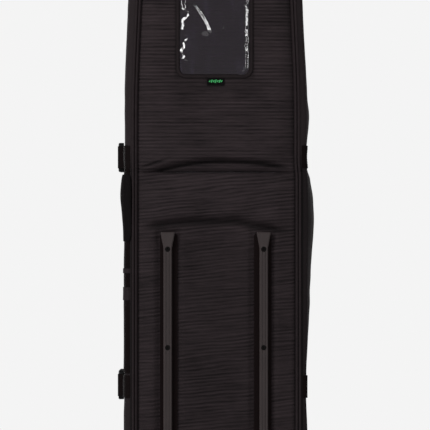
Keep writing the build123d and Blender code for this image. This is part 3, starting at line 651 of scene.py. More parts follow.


class Paint:
    """A material under construction, with short calls for the nodes that its pattern needs."""

    def __init__(self, name, roughness, specular):
        self.material = bpy.data.materials.new(name)
        self.material.use_nodes = True
        self.nodes = self.material.node_tree.nodes
        self.links = self.material.node_tree.links
        self.shader = self.nodes["Principled BSDF"]
        self.shader.inputs["Roughness"].default_value = roughness
        self.shader.inputs["Specular IOR Level"].default_value = specular

    def put(self, socket, value):
        if isinstance(value, bpy.types.NodeSocket):
            self.links.new(value, socket)
        elif value is not None:
            socket.default_value = value

    def node(self, kind, *values, **settings):
        """A new node with its settings and the values of its first inputs; None leaves one as it is."""
        node = self.nodes.new("ShaderNode" + kind)
        for name, value in settings.items():
            setattr(node, name, value)
        for socket, value in zip(node.inputs, values):
            self.put(socket, value)
        return node

    def place(self, source="Object"):
        """Coordinates in metres: Object for the bag's frame, or cloth for along and across a piece."""
        if source == "cloth":
            return self.node("UVMap", uv_map="cloth").outputs["UV"]
        return self.node("TexCoord").outputs[source]

    def split(self, vector):
        return self.node("SeparateXYZ", vector).outputs

    def math(self, kind, a, b=0.5):
        return self.node("Math", a, b, operation=kind).outputs[0]

    def total(self, *terms):
        return functools.reduce(lambda a, b: self.math("ADD", a, b), terms)

    def times(self, *terms):
        return functools.reduce(lambda a, b: self.math("MULTIPLY", a, b), terms)

    def weighed(self, start, *terms):
        """start plus every value times its weight."""
        return self.total(start, *(self.times(value, weight) for value, weight in terms))

    def wave(self, value, pitch):
        """A sine with the given pitch in metres, between -1 and 1."""
        return self.math("SINE", self.times(value, 2 * math.pi / pitch))

    def noise(self, vector, scale, detail=3.0, rough=0.5):
        """Noise centred on 0, roughly between -0.5 and 0.5; scale is one number or one an axis."""
        if isinstance(scale, tuple):
            vector, scale = self.node("Mapping", vector, None, None, scale).outputs[0], 1.0
        node = self.node("TexNoise", vector, None, scale, detail, rough)
        return self.math("SUBTRACT", node.outputs["Fac"], 0.5)

    def step(self, value, low, high):
        """0 below low, 1 above high, smooth between."""
        return self.node("MapRange", value, low, high, interpolation_type="SMOOTHSTEP").outputs["Result"]

    def mix(self, share, a, b, kind="MIX"):
        node = self.node("Mix", data_type="RGBA", blend_type=kind)
        for place, value in ((0, share), (6, a), (7, b)):  # the factor and the two colours
            self.put(node.inputs[place], value)
        return node.outputs[2]

    def shade(self, colour, gain):
        """A colour made lighter or darker by a factor that a pattern gives."""
        grey = self.node("CombineColor", gain, gain, gain)
        return self.mix(1.0, colour, grey.outputs[0], "MULTIPLY")

    def colour(self, value):
        self.put(self.shader.inputs["Base Color"], value)

    def darken_by_painted_shade(self, colour, gain):
        """Colour, dimmed by the piece's painted shade."""
        painted_shade = self.node("Attribute", attribute_name="painted_shade")
        lit = self.weighed(1.0, (painted_shade.outputs["Fac"], -PAINTED_SHADE_DEPTH))
        self.colour(self.shade(colour, self.times(gain, lit)))

    def relief(self, height):
        """Bump from a height in metres."""
        node = self.node("Bump", 1.0, 1.0)
        self.put(node.inputs["Height"], height)
        self.links.new(node.outputs[0], self.shader.inputs["Normal"])

    def roughness(self, value):
        self.put(self.shader.inputs["Roughness"], value)


def rgb(red, green, blue):
    return (red, green, blue, 1.0)


FABRIC_COLOUR = rgb(0.0136, 0.0099, 0.0109)
SIDE_COLOUR = rgb(0.0126, 0.0093, 0.0101)
BLACK_WEAVE = rgb(0.0032, 0.0018, 0.0018)
WEBBING_PITCH = 0.0021


RIB_PITCH = 0.0061
THREAD_PITCH = 0.0013


def ribbed_fabric(name, waviness, slant):
    """Coarse polyester with level ribs; waviness is how far they wander, slant how steeply they lean."""
    paint = Paint(name, 0.80, 0.07)
    place = paint.place("cloth")
    u, v = paint.split(place)[0:2]
    drift = paint.noise(place, (9, 30, 1), 2.0)
    level = paint.weighed(v, (u, -slant), (drift, waviness))
    beat = paint.weighed(0.80, (paint.noise(place, (13, 80, 1), 2.0), 2.6))
    rib = paint.times(paint.wave(level, RIB_PITCH), beat)
    turned = paint.node("CombineXYZ", paint.times(u, 14.0), paint.times(level, 210.0))
    streak = paint.noise(turned.outputs[0], 1.0, 2.0)
    thread = paint.times(paint.wave(u, THREAD_PITCH), paint.wave(v, THREAD_PITCH))
    slub = paint.noise(place, (60, 700, 1), 2.0)
    cloud = paint.noise(place, 11.0, 4.0)
    paint.relief(paint.weighed(0.0, (rib, 0.00022), (streak, 0.00075), (thread, 0.00004), (slub, 0.00020)))
    gain = paint.weighed(1.04, (rib, 0.30), (streak, 1.45), (cloud, 1.00), (slub, 1.10))
    paint.darken_by_painted_shade(FABRIC_COLOUR, gain)
    paint.roughness(paint.weighed(0.78, (slub, 0.12)))
    return paint.material


def plain_fabric(name, colour, thread_pitch=0.0014, gloss=0.08):
    """Plain-woven cloth."""
    paint = Paint(name, 0.82, gloss)
    place = paint.place("cloth")
    u, v = paint.split(place)[0:2]
    thread = paint.times(paint.wave(u, thread_pitch), paint.wave(v, thread_pitch))
    slub = paint.noise(place, (420, 420, 1), 2.0)
    cloud = paint.noise(place, 14.0, 4.0)
    paint.relief(paint.weighed(0.0, (thread, 0.00006), (slub, 0.00012), (cloud, 0.0012)))
    paint.darken_by_painted_shade(colour, paint.weighed(1.0, (thread, 0.12), (cloud, 0.50), (slub, 0.45)))
    paint.roughness(paint.weighed(0.82, (slub, 0.12)))
    return paint.material


def webbing(name):
    """Black woven nylon strap: fine ribs along it, the first cloth axis, crossed by slanting picks."""
    paint = Paint(name, 0.66, 0.03)
    place = paint.place("cloth")
    run, across = paint.split(place)[0:2]
    ribs = paint.math("ABSOLUTE", paint.wave(across, 2 * WEBBING_PITCH))
    slant = paint.math("PINGPONG", across, 2 * WEBBING_PITCH)
    picks = paint.wave(paint.total(run, slant), 0.0017)
    wear = paint.noise(place, 40.0, 4.0)
    paint.relief(paint.weighed(0.0, (ribs, 0.00018), (picks, 0.00007)))
    paint.colour(paint.shade(BLACK_WEAVE, paint.weighed(0.80, (ribs, 0.35), (picks, 0.14), (wear, 0.45))))
    paint.roughness(paint.weighed(0.60, (wear, 0.2)))
    return paint.material


def grosgrain(name, colour):
    """Ribbon binding with ribs across its length, which runs along the first cloth axis."""
    paint = Paint(name, 0.76, 0.08)
    place = paint.place("cloth")
    rib = paint.wave(paint.split(place)[0], 0.0012)
    wear = paint.noise(place, 55.0, 3.0)
    paint.relief(paint.weighed(0.0, (rib, 0.00007), (wear, 0.0003)))
    paint.darken_by_painted_shade(colour, paint.weighed(1.0, (rib, 0.16), (wear, 0.5)))
    return paint.material


def moulded(name, colour, roughness, specular=0.45, grain=0.00003, streak=(60, 60, 60), wear=0.25):
    """Moulded plastic or rubber with a spark-eroded grain; streak stretches its scuffs along an axis."""
    paint = Paint(name, roughness, specular)
    place = paint.place()
    fine = paint.noise(place, 1900.0, 2.0)
    scuff = paint.noise(place, streak, 5.0, 0.65)
    cloud = paint.noise(place, 22.0, 3.0)
    paint.relief(paint.weighed(0.0, (fine, grain), (scuff, grain * 1.5)))
    paint.colour(paint.shade(colour, paint.weighed(1.0, (scuff, wear), (cloud, wear * 0.8), (fine, 0.10))))
    paint.roughness(paint.weighed(roughness, (scuff, 0.22), (fine, 0.08)))
    return paint.material


def metal(name, colour, roughness):
    """Plated or brushed steel."""
    paint = Paint(name, roughness, 0.5)
    paint.shader.inputs["Metallic"].default_value = 1.0
    place = paint.place()
    brush = paint.noise(place, (300, 300, 4000), 3.0)
    grime = paint.noise(place, 120.0, 4.0)
    paint.colour(paint.shade(colour, paint.weighed(1.0, (brush, 0.2), (grime, 0.5))))
    paint.roughness(paint.weighed(roughness, (grime, 0.25), (brush, 0.1)))
    paint.relief(paint.times(brush, 0.000008))
    return paint.material


def foam_material(name, colour):
    """Closed-cell foam sheet."""
    paint = Paint(name, 0.9, 0.2)
    place = paint.place()
    cells = paint.node("TexVoronoi", place)
    cells.inputs["Scale"].default_value = 900.0
    paint.relief(paint.times(cells.outputs["Distance"], 0.0002))
    paint.colour(paint.shade(colour, paint.weighed(0.9, (cells.outputs["Distance"], 0.3))))
    return paint.material


def mix_shaders(tree, share, first, second, output):
    """Sends a mix of two shader nodes to the output; share 0 is the first, 1 the second."""
    blend = tree.nodes.new("ShaderNodeMixShader")
    if isinstance(share, bpy.types.NodeSocket):
        tree.links.new(share, blend.inputs["Fac"])
    else:
        blend.inputs["Fac"].default_value = share
    tree.links.new(first.outputs[0], blend.inputs[1])
    tree.links.new(second.outputs[0], blend.inputs[2])
    tree.links.new(blend.outputs[0], output.inputs["Surface"])


FILM_COVER = 0.40  # how much of the light the clear vinyl stops


def window_film(name):
    """Clear soft vinyl: mostly see-through, a little milky, with a sharp gloss."""
    paint = Paint(name, 0.04, 0.8)
    place = paint.place()
    streaks = paint.noise(place, (62, 1, 10), 3.0)
    haze = paint.step(streaks, 0.02, 0.34)
    paint.colour(paint.mix(haze, rgb(0.008, 0.0035, 0.009), rgb(0.036, 0.029, 0.054)))
    paint.roughness(paint.weighed(0.06, (haze, 0.10)))
    for socket, value in (("Coat Weight", 1.0), ("Coat Roughness", 0.03), ("Coat IOR", 1.65)):
        paint.shader.inputs[socket].default_value = value
    clear = paint.node("BsdfTransparent")
    mix_shaders(paint, FILM_COVER, clear, paint.shader, paint.nodes["Material Output"])
    return paint.material


RIBBED_UPPER = ribbed_fabric("ribbed_fabric_upper", 0.0022, 0.0)
RIBBED_LOWER = ribbed_fabric("ribbed_fabric_lower", 0.0100, 0.10)
PLAIN = plain_fabric("plain_fabric", SIDE_COLOUR)
LINING_CLOTH = plain_fabric("lining_cloth", rgb(0.060, 0.062, 0.066), 0.0018, 0.2)
BINDING = grosgrain("seam_binding", rgb(0.0126, 0.0089, 0.0098))
WINDOW_EDGE = grosgrain("window_edge_binding", rgb(0.0102, 0.0071, 0.0078))
WEBBING_UP = webbing("black_webbing_upright")
SIDE_WEAVE = webbing("side_webbing_weave")
PAD_CLOTH = plain_fabric("handle_pad_cloth", rgb(0.0032, 0.0026, 0.0028), 0.0010, 0.04)
THREAD = grosgrain("sewing_thread", rgb(0.0150, 0.0108, 0.0120))
BLACK_THREAD = grosgrain("black_thread", rgb(0.006, 0.005, 0.005))
TAPE_CLOTH = plain_fabric("zip_tape_cloth", rgb(0.0050, 0.0045, 0.0048), 0.0009)
COIL_PLASTIC = moulded("zip_coil_plastic", rgb(0.008, 0.008, 0.009), 0.38, 0.35)
FOAM_CELLS = foam_material("foam_cells", rgb(0.055, 0.055, 0.06))
FILM = window_film("window_film")
LABEL_CLOTH = plain_fabric("label_cloth", rgb(0.0022, 0.0022, 0.0022), 0.0006, 0.05)
LABEL_MARK = plain_fabric("label_mark_thread", rgb(0.055, 0.360, 0.115), 0.0006)
PLAIN_LOOK = (PLAIN, "main_fabric")
BINDING_LOOK = (BINDING, "seam_binding")
FOAM_LOOK = (FOAM_CELLS, "foam")
LINING_LOOK = (LINING_CLOTH, "lining")

BLACK_STEEL = metal("black_screw_steel", rgb(0.012, 0.011, 0.011), 0.42)
SLIDER_METAL = metal("slider_metal", rgb(0.055, 0.055, 0.058), 0.34)
PIN_STEEL = metal("pin_steel", rgb(0.30, 0.30, 0.30), 0.3)
BEARING_STEEL = metal("bearing_steel", rgb(0.45, 0.45, 0.46), 0.2)
BOARD_PLASTIC = moulded("board_plastic", rgb(0.55, 0.55, 0.53), 0.6)
BASE_PLASTIC = moulded("base_moulding", rgb(0.0085, 0.0078, 0.0082), 0.55, 0.28, 0.00007)
RAIL_SCUFF = (340, 340, 9)  # the rails' scuffs run up and down them
RAIL_PLASTIC = moulded("rail_moulding", rgb(0.0240, 0.0180, 0.0180), 0.46, 0.24, 0.00004, RAIL_SCUFF, 0.30)
BED_PLASTIC = moulded("rail_bed_plastic", rgb(0.0042, 0.0021, 0.0022), 0.75, 0.05, 0.00005)
FOOT_RUBBER = moulded("foot_rubber", rgb(0.009, 0.009, 0.009), 0.8, 0.2, 0.0001)
BUCKLE_PLASTIC = moulded("buckle_plastic", rgb(0.0028, 0.0026, 0.0028), 0.38, 0.10, 0.00002)
TYRE_RUBBER = moulded("tyre_rubber", rgb(0.012, 0.0115, 0.0115), 0.72, 0.22, 0.0001, wear=0.6)
HUB_PLASTIC = moulded("hub_plastic", rgb(0.085, 0.085, 0.09), 0.45, 0.45)

# ---- CAD pieces that are shown as they are: their slot, material and nodes ----
CAD_LOOKS = (
    ("board", BOARD_PLASTIC, ["stiffener_board"]),
    ("base_moulding", BASE_PLASTIC, ["base_cap"]),
    ("rail_moulding", RAIL_PLASTIC, ["rail_left", "rail_right"]),
    ("rail_bed", BED_PLASTIC, ["rail_beds"]),
    ("foot_rubber", FOOT_RUBBER, ["foot_pad"]),
    ("screw_steel", BLACK_STEEL, ["back_screws", "back_tee_nuts"]),
    ("bearing_steel", BEARING_STEEL, ["wheel_axles", "wheel_bearings_left", "wheel_bearings_right"]),
    ("handle_pin_steel", PIN_STEEL, ["top_handle_anchors"]),
    ("wheel_tyre", TYRE_RUBBER, ["wheel_tyre_left", "wheel_tyre_right"]),
    ("wheel_hub", HUB_PLASTIC, ["wheel_hub_left", "wheel_hub_right"]),
    ("slider_metal", SLIDER_METAL, ["zip_slider_upper", "zip_slider_lower", "pocket_slider"]),
    ("slider_metal", SLIDER_METAL, ["zip_pull_upper", "zip_pull_lower", "pocket_pull"]),
    ("buckle_plastic", BUCKLE_PLASTIC, ["buckle_sockets"]),
    ("buckle_plastic", BUCKLE_PLASTIC, [f"buckle_prongs_{name}" for name in STRAP_NAMES]),
    ("zip_tape", TAPE_CLOTH, ["pocket_zip"]),
)
for slot_name, material, nodes in CAD_LOOKS:
    for node in nodes:
        part = frame["nodes"][node]
        part.data.materials.clear()
        part.data.materials.append(material)
        part.data.shade_smooth()
        part.data.set_sharp_from_angle(angle=math.radians(30))


# ---- tray: outer cloth ----
def ride(piece, body, *nodes):
    """Puts a piece on its body in place of the CAD nodes that it stands for."""
    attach(piece, body)
    if nodes:
        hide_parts(*nodes)
    return piece


def sew(name, runs, slot, body, thread=BLACK_THREAD):
    """Stitches along several lines, each with its outward direction, on their body."""
    ride(stitching(name, runs, thread, slot), body)


TRAY_WALL, LID_WALL = (BACK_Y, BACK_RADIUS), (FRONT_Y, FRONT_RADIUS)  # a wall's face and its rounding
BACK_COLUMNS, LID_COLUMNS = 132, 60
PANEL_INSET = 0.0235  # how far in from the outline the back panel's cloth ends
WALL_INSET = 0.0195  # and how far in the side panels' cloth reaches over the back edge
SEWN_CLOTH = FABRIC * 0.9
for name, z_low, z_high, fine, cloth in (
    ("lower", BASE_Z + PANEL_INSET, CROSS_SEAM_Z, (0.735, CROSS_SEAM_Z), RIBBED_LOWER),
    ("upper", CROSS_SEAM_Z, TOP_Z - PANEL_INSET, (CROSS_SEAM_Z, 0.900), RIBBED_UPPER),
):
    rows = plate_rows(z_low, z_high, PANEL_INSET, fine=((*fine, 0.0013),))
    title = f"back_fabric_{name}"
    panel = plate(title, rows, PANEL_INSET, BACK_Y, SEWN_CLOTH, BACK_COLUMNS, cloth, "main_fabric")
    if name == "lower":
        cut_wells(panel)
    ride(panel, "shell", f"back_panel_{name}")

tray_outer = edge_section(0, WALL_INSET, *TRAY_WALL, TRAY_EDGE_Y, ridge=0.0012)
tray_inner = edge_section(FABRIC, WALL_INSET, *TRAY_WALL, TRAY_EDGE_Y, ridge=0.0002)


def side_shade(grid, section):
    """The walls lie in shade below the middle strap, more so on the right."""
    x, z = grid[..., 0], grid[..., 2]
    shade = np.where(x > 0, 0.36, 0.16) * smooth((0.905 - z) / 0.05) * smooth((z - 0.25) / 0.20)
    tuck = 0.80 * hump(section[:, 0], BACK_SEAM[1] - 0.0106, 0.0022) * (section[:, 1] < BACK_Y + 0.002)
    tuck = tuck * (0.25 + 0.75 * smooth((FULL_Z - z) / 0.04))
    return np.clip(shade + tuck, 0, 1)


SIDE_SPANS = {
    "side_panel_left": (left_at(END_Z[0]), left_at(END_Z[1])),
    "side_panel_right": (right_at(END_Z[1]), right_at(END_Z[0])),
    "top_end_panel": (left_at(END_Z[1]), right_at(END_Z[1])),
    "bottom_end_panel": (-left_at(END_Z[0]), left_at(END_Z[0])),
}
for node, span in SIDE_SPANS.items():
    panel = band(f"{node}_fabric", span, tray_outer, tray_inner, *PLAIN_LOOK, shade=side_shade)
    if node != "top_end_panel":
        cut_wells(panel)
    ride(panel, "shell", node)

# seam binding: a crowned tape over the raw edges of the back and side panels
TAPE_MIDDLE, TAPE_REACH = BACK_SEAM[1] - 0.0054, 0.0056
tape_across = np.linspace(-1, 1, 21)
tape_inset = TAPE_MIDDLE + TAPE_REACH * tape_across
tape_rise = 0.0029 * arch(2 * np.abs(tape_across) - 1)
tape_outer = np.stack([tape_inset, BACK_Y + 0.0004 - tape_rise], axis=-1)
tape_inner = np.stack([tape_inset, np.full(21, BACK_Y + 0.0014)], axis=-1)
seam_span = (left_at(CAP_BACK_Z - 0.004), right_at(CAP_BACK_Z - 0.004))


def tape_shade(grid, section):
    """Dark along the tape's stitched groove and both its edges."""
    t = np.abs(section[:, 0] - TAPE_MIDDLE) / TAPE_REACH
    low = 0.55 + 0.45 * smooth((FULL_Z - grid[..., 2]) / 0.04)
    return np.clip((0.60 * hump(t, 0, 0.22) + 0.75 * hump(t, 1, 0.20)) * low, 0, 1)


tape = band("back_seam_tape", seam_span, tape_outer, tape_inner, *BINDING_LOOK, shade=tape_shade)
ride(tape, "shell", "back_seam_binding")
tape_groove = band_grid(np.linspace(*seam_span, 900), np.array([(TAPE_MIDDLE, BACK_Y + 0.0002)]))[:, 0]
cross_x = np.linspace(-1, 1, 80) * (half_width(CROSS_SEAM_Z, BACK_SEAM[1]) - 0.002)
cross_seam = xyz(cross_x, BACK_Y - 0.0002, CROSS_SEAM_Z - 0.0034)
seam_runs = [(soften(line), (0, -1, 0)) for line in (tape_groove, cross_seam)]
sew("back_seam_stitches", seam_runs, "seam_binding", "shell", THREAD)

# ---- tray: foam, lining and rim ----
FOAM_GAP = 0.0004
FOAM_THICK = FOAM - FABRIC - 2 * FOAM_GAP
LINING_THICK = LINING - FOAM
TRAY_INSET, LID_LAYER_INSET = 0.026, 0.027  # how far in from the outline the flat layers end


def foam_walls(name, wall, end_y, start):
    """A foam band just inside a wall, right round the outline."""
    outer = edge_section(FABRIC + FOAM_GAP, start, *wall, end_y, steps=8)
    inner = edge_section(FOAM - FOAM_GAP, start, *wall, end_y, steps=8)
    return band(name, (0, GIRTH), outer, inner, *FOAM_LOOK, True, 0.010)


def lining_walls(name, wall, end_y, start):
    """The lining inside a wall's foam."""
    outer = edge_section(FOAM, start, *wall, end_y, steps=8)
    inner = edge_section(LINING, start, *wall, end_y, steps=8)
    return band(name, (0, GIRTH), outer, inner, *LINING_LOOK, True, 0.010)


def flat_layer(name, inset, edge_inset, y, thickness, look):
    """A flat sheet of foam or lining inside the back or the lid, its rows spaced for the inset."""
    rows = plate_rows(BASE_Z + inset, TOP_Z - inset, inset, coarse=0.012)
    return plate(name, rows, edge_inset, y, thickness, 30, *look)


def foam(piece, body, *nodes):
    return ride(piece, body, *nodes)


tray_foam = foam_walls("tray_foam_walls", TRAY_WALL, TRAY_EDGE_Y - 0.001, 0.0165)
foam(cut_wells(tray_foam), "shell", "padding_sides")
foam_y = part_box("stiffener_board")[1].y + FOAM_GAP
foam_back_thick = BACK_Y + FOAM - FOAM_GAP - foam_y
foam_back = flat_layer("tray_foam_back", TRAY_INSET, 0.0175, foam_y, foam_back_thick, FOAM_LOOK)
foam(cut_wells(foam_back), "shell", "padding_back")
ride(cut_wells(lining_walls("tray_lining_walls", TRAY_WALL, TRAY_EDGE_Y, 0.028)), "shell", "tray_lining")
floor_y = BACK_Y + FOAM
lining_floor = flat_layer("tray_lining_floor", TRAY_INSET, TRAY_INSET, floor_y, LINING_THICK, LINING_LOOK)
ride(cut_wells(lining_floor), "shell")


RIM_DEPTH, RIM_RISE = 0.0015, 0.0026  # where the rim's bead starts inside the outline, and its height


def rim_bead(name, y, way, body):
    """The rounded edge binding that closes the wall's layers along the open side."""
    turns = np.radians(np.linspace(0, 180, 9))
    middle, reach = (LINING + RIM_DEPTH) / 2, (LINING - RIM_DEPTH) / 2
    outer = np.array([(middle - reach * math.cos(t), y + way * RIM_RISE * math.sin(t)) for t in turns])
    inner = np.array([(middle - reach * math.cos(t) * 0.9, y - way * 0.0006) for t in turns])
    return ride(band(name, (0, GIRTH), outer, inner, *BINDING_LOOK, True, 0.006), body)


rim_bead("tray_rim_binding", TRAY_EDGE_Y, 1, "shell")
rim_bead("lid_rim_binding", LID_EDGE_Y, -1, "lid")

# ---- zip ----
ZIP_SPAN = (-left_at(HINGE_Z[0]), right_at(HINGE_Z[1]))
TOOTH_PITCH = 0.0026
TOOTH_SIZE = (0.0040, 0.0019, 0.0016)


def level_section(inset, y_low, y_high, steps=6):
    return np.array([(inset, y) for y in np.linspace(y_low, y_high, steps + 1)])


def zip_tape(node, body):
    low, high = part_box(node)
    outer, inner = (level_section(inset, low.y, high.y) for inset in (LINING, LINING + 0.0007))
    ride(band(f"{node}_woven", ZIP_SPAN, outer, inner, TAPE_CLOTH, "zip_tape"), body, node)


def zip_teeth(node, body, shift, way):
    """Coil teeth round the zip, reaching a little past the coil's edge to lock with the other side's."""
    low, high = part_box(node)
    at = np.arange(ZIP_SPAN[0] + 0.003 + shift * TOOTH_PITCH, ZIP_SPAN[1] - 0.003, TOOTH_PITCH)
    y = (low.y + high.y) / 2 + way * 0.0004
    middles = band_grid(at, np.array([(LINING - 0.00085, y)]))[:, 0]
    normal = on_outline(at)[1]
    out = -xyz(normal[0], 0.0, normal[1])
    along = np.broadcast_to([0.0, 1.0, 0.0], middles.shape)
    teeth = pills(f"{node}_teeth", soften(middles), along, out, *TOOTH_SIZE, COIL_PLASTIC, "zip_coil")
    ride(teeth, body, node)


zip_tape("tray_zip_tape", "shell")
zip_tape("lid_zip_tape", "lid")
zip_teeth("tray_zip_coil", "shell", 0.0, 1)
zip_teeth("lid_zip_coil", "lid", 0.5, -1)

# ---- fabric hinge, one gusset of cloth pleated between tray and lid ----
HINGE_SPAN = (right_at(HINGE_Z[1]), right_at(HINGE_Z[0]))
HINGE_MIDDLE_Y = (TRAY_EDGE_Y + LID_EDGE_Y) / 2
hinge_y = np.linspace(TRAY_EDGE_Y - 0.004, LID_EDGE_Y + 0.004, 25)
pleat = 0.0018 * hump(hinge_y, HINGE_MIDDLE_Y, 0.006) - 0.0009
hinge_outer, hinge_inner = (np.stack([pleat + depth, hinge_y], axis=-1) for depth in (0.0, 0.0011))
gusset = band("hinge_gusset", HINGE_SPAN, hinge_outer, hinge_inner, *PLAIN_LOOK)
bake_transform(gusset)
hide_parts("hinge_fabric_tray", "hinge_fabric_lid")

# ---- lid: cloth, foam and lining ----
LID_INSET = 0.0295
PIPING_RADIUS, PIPING_POINTS = 0.0021, 640
lid_rows = plate_rows(BASE_Z + LID_INSET, TOP_Z - LID_INSET, LID_INSET, coarse=0.007)
front = plate(
    "lid_front_fabric", lid_rows, LID_INSET, FRONT_Y, -SEWN_CLOTH, LID_COLUMNS, RIBBED_UPPER, "main_fabric"
)
ride(front, "lid", "lid_front_panel")
lid_start = LID_SEAM[0] + 0.001
lid_outer, lid_inner = (
    edge_section(depth, lid_start, *LID_WALL, LID_EDGE_Y, steps=5) for depth in (0, FABRIC)
)
lid_side = band("lid_side_fabric", (0, GIRTH), lid_outer, lid_inner, *PLAIN_LOOK, True, 0.006)
ride(lid_side, "lid", "lid_side_band")
piping_at = np.linspace(0, GIRTH, PIPING_POINTS, endpoint=False)
piping_line = soften(band_grid(piping_at, np.array([(sum(LID_SEAM) / 2, FRONT_Y + 0.0006)])))[:, 0]
ride(cord_loop("lid_piping_cord", piping_line, PIPING_RADIUS, *BINDING_LOOK), "lid", "lid_piping")
foam(foam_walls("lid_foam_walls", LID_WALL, LID_EDGE_Y + 0.001, 0.0262), "lid", "lid_padding")
for_lid = (LID_LAYER_INSET, LID_LAYER_INSET)
foam(flat_layer("lid_foam_front", *for_lid, FRONT_Y - FABRIC - FOAM_GAP, -FOAM_THICK, FOAM_LOOK), "lid")
ride(lining_walls("lid_lining_walls", LID_WALL, LID_EDGE_Y, 0.029), "lid", "lid_lining")
ride(flat_layer("lid_lining_front", *for_lid, FRONT_Y - FOAM, -LINING_THICK, LINING_LOOK), "lid")


# ---- webbing straps round the bag ----
def hoop(z, lift):
    """A strap's way round the closed bag at height z, from the left back seam to the right one."""
    wide = float(half_width(z)) + lift
    back, front = BACK_Y - lift, FRONT_Y + lift
    start = wide - BACK_SEAM[0]
    corners = [(-start, back), (-wide, back), (-wide, front), (wide, front), (wide, back), (start, back)]
    radii = (BACK_RADIUS + lift, FRONT_RADIUS + lift, FRONT_RADIUS + lift, BACK_RADIUS + lift)
    return spaced(rounded(corners, radii), step=0.004)


def strap_grid(z, lift, first, last, rows=None, columns=7):
    """A stretch of the hoop between two (side, y) ends, as a grid across the strap's width."""
    way = hoop(z, lift)
    front = int(np.argmax(way[:, 1]))
    ends = []
    for side, y in (first, last):
        part = way[: front + 1] if side < 0 else way[front:]
        order = part[:, 1] if side < 0 else part[::-1, 1]
        along = np.interp(y, order, np.arange(len(part)) if side < 0 else np.arange(len(part))[::-1])
        ends.append(along if side < 0 else along + front)
    rows = rows or max(3, math.ceil(abs(ends[1] - ends[0])) + 1)
    index = np.linspace(ends[0], ends[1], rows)
    path = np.stack([np.interp(index, np.arange(len(way)), way[:, k]) for k in (0, 1)], axis=1)
    across = np.linspace(-STRAP_WIDTH / 2, STRAP_WIDTH / 2, columns)
    scale = half_width(z + across) / half_width(z)
    x = path[:, :1] * scale
    return soften(xyz(x, path[:, 1:], z + across))


def strap_parts(first, last):
    """The same stretch of all three straps, each as its outer and inner grid."""
    parts = []
    for z in STRAP_Z:
        outer = strap_grid(z, STRAP_LIFT + STRAP_THICK, first, last)
        parts.append((outer, strap_grid(z, STRAP_LIFT, first, last, rows=len(outer))))
    return parts


def strap(name, parts, cloth=WEBBING_UP):
    return joined(name, parts, cloth, "black_webbing")


LINK_REACH = 0.014  # half the length of strap over the hinge, built as its own piece on neither body
link_low, link_high = HINGE_MIDDLE_Y - LINK_REACH, HINGE_MIDDLE_Y + LINK_REACH
anchor_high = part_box("strap_anchors_left")[1]
lid_strap_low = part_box("compression_straps")[0]
for name, body, node, first, last in (
    ("left_anchor_webbing", "shell", "strap_anchors_left", (-1, BACK_Y), (-1, anchor_high.y)),
    ("right_anchor_webbing", "shell", "strap_anchors_right", (1, link_low), (1, BACK_Y)),
    ("lid_strap_webbing", "lid", "compression_straps", (-1, lid_strap_low.y), (1, link_high)),
):
    ride(strap(name, strap_parts(first, last)), body, node)
links = strap("hinge_strap_webbing", strap_parts((1, link_high), (1, link_low)))
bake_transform(links)

# ---- side webbing and the padded side handle ----
webbing_low, webbing_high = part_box("side_webbing")
handle_low, handle_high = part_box("side_handle")
WEB_MIDDLE = 0.0225  # distance of the webbing's middle round the edge from the back face's flat
WEB_WIDTH = 0.034
HANDLE_BLEND = 0.050
GRIP_CROWN_Z = 0.822
GRIP_MIDDLE = 0.0232
GRIP_REACH = 0.0215  # half the way that the grip goes round the edge
GRIP_SEAM = 0.011  # distance of its two seams from its middle
GRIP_ROWS, GRIP_SIDES = 46, 30
KEEPER_MARGIN = 0.003  # how far a keeper reaches past the webbing on each side


def edge_place(around, z, lift):
    """A point over the left back edge: around is the distance from where the rounding starts."""
    turn = np.clip(around / BACK_RADIUS, 0, math.pi / 2)
    past = np.maximum(around - BACK_RADIUS * math.pi / 2, 0)
    before = np.minimum(around, 0)
    x = -half_width(z) + BACK_RADIUS - (BACK_RADIUS + lift) * np.sin(turn) - before
    y = BACK_Y + BACK_RADIUS - (BACK_RADIUS + lift) * np.cos(turn) + past
    return xyz(x, y, z)


def edge_strip(z_low, z_high, step=0.006):
    """A strip of webbing over the back edge, running up it."""
    z = np.linspace(z_low, z_high, max(3, round((z_high - z_low) / step)))[:, None]
    around = np.linspace(WEB_MIDDLE - WEB_WIDTH / 2, WEB_MIDDLE + WEB_WIDTH / 2, 9)[None, :]
    return soften(edge_place(around, z, STRAP_THICK)), soften(edge_place(around, z, 0.0))


static_top = handle_low.z - HANDLE_BLEND
static_strip = strap("side_webbing_strip", [edge_strip(webbing_low.z, static_top)], SIDE_WEAVE)
ride(static_strip, "shell", "side_webbing")
KEEPERS_Z = ((0.642, 0.664), (0.688, 0.696))


def keeper(z_low, z_high):
    """A fabric loop sewn down over the side webbing."""
    z = np.linspace(z_low, z_high, 6)[:, None]
    reach = WEB_WIDTH / 2 + KEEPER_MARGIN
    around = WEB_MIDDLE + np.linspace(-reach, reach, 13)[None, :]
    lift = 0.0003 + 0.0026 * smooth((reach - np.abs(around - WEB_MIDDLE)) / KEEPER_MARGIN) + 0 * z
    return soften(edge_place(around, z, lift)), soften(edge_place(around, z, lift - 0.0008))


ride(joined("side_webbing_keepers", [keeper(*span) for span in KEEPERS_Z], *PLAIN_LOOK), "shell")
for name, start_z, end_z in (
    ("lower", static_top, handle_low.z + 0.006),
    ("upper", webbing_high.z, handle_high.z - 0.006),
):
    ends = edge_strip(min(start_z, end_z), max(start_z, end_z), 0.003)
    strip = strap(f"side_handle_webbing_{name}", [ends], SIDE_WEAVE)
    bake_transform(strip)


def padded_sleeve(name, rings, run, girth_step):
    """A closed padded sleeve through rings of points, one ring for each place of its run."""
    rows, sides = len(rings), len(rings[0])
    uv = np.stack(np.meshgrid(run, ring_turns(sides) * girth_step, indexing="ij"), axis=-1)
    faces = ring_faces(rows, sides)
    return mesh_piece(name, np.array(rings), faces, PAD_CLOTH, uv, sharp=70)


def squared(turns_wave, power):
    """A sine or cosine flattened towards a rounded square."""
    return np.sign(turns_wave) * np.abs(turns_wave) ** power


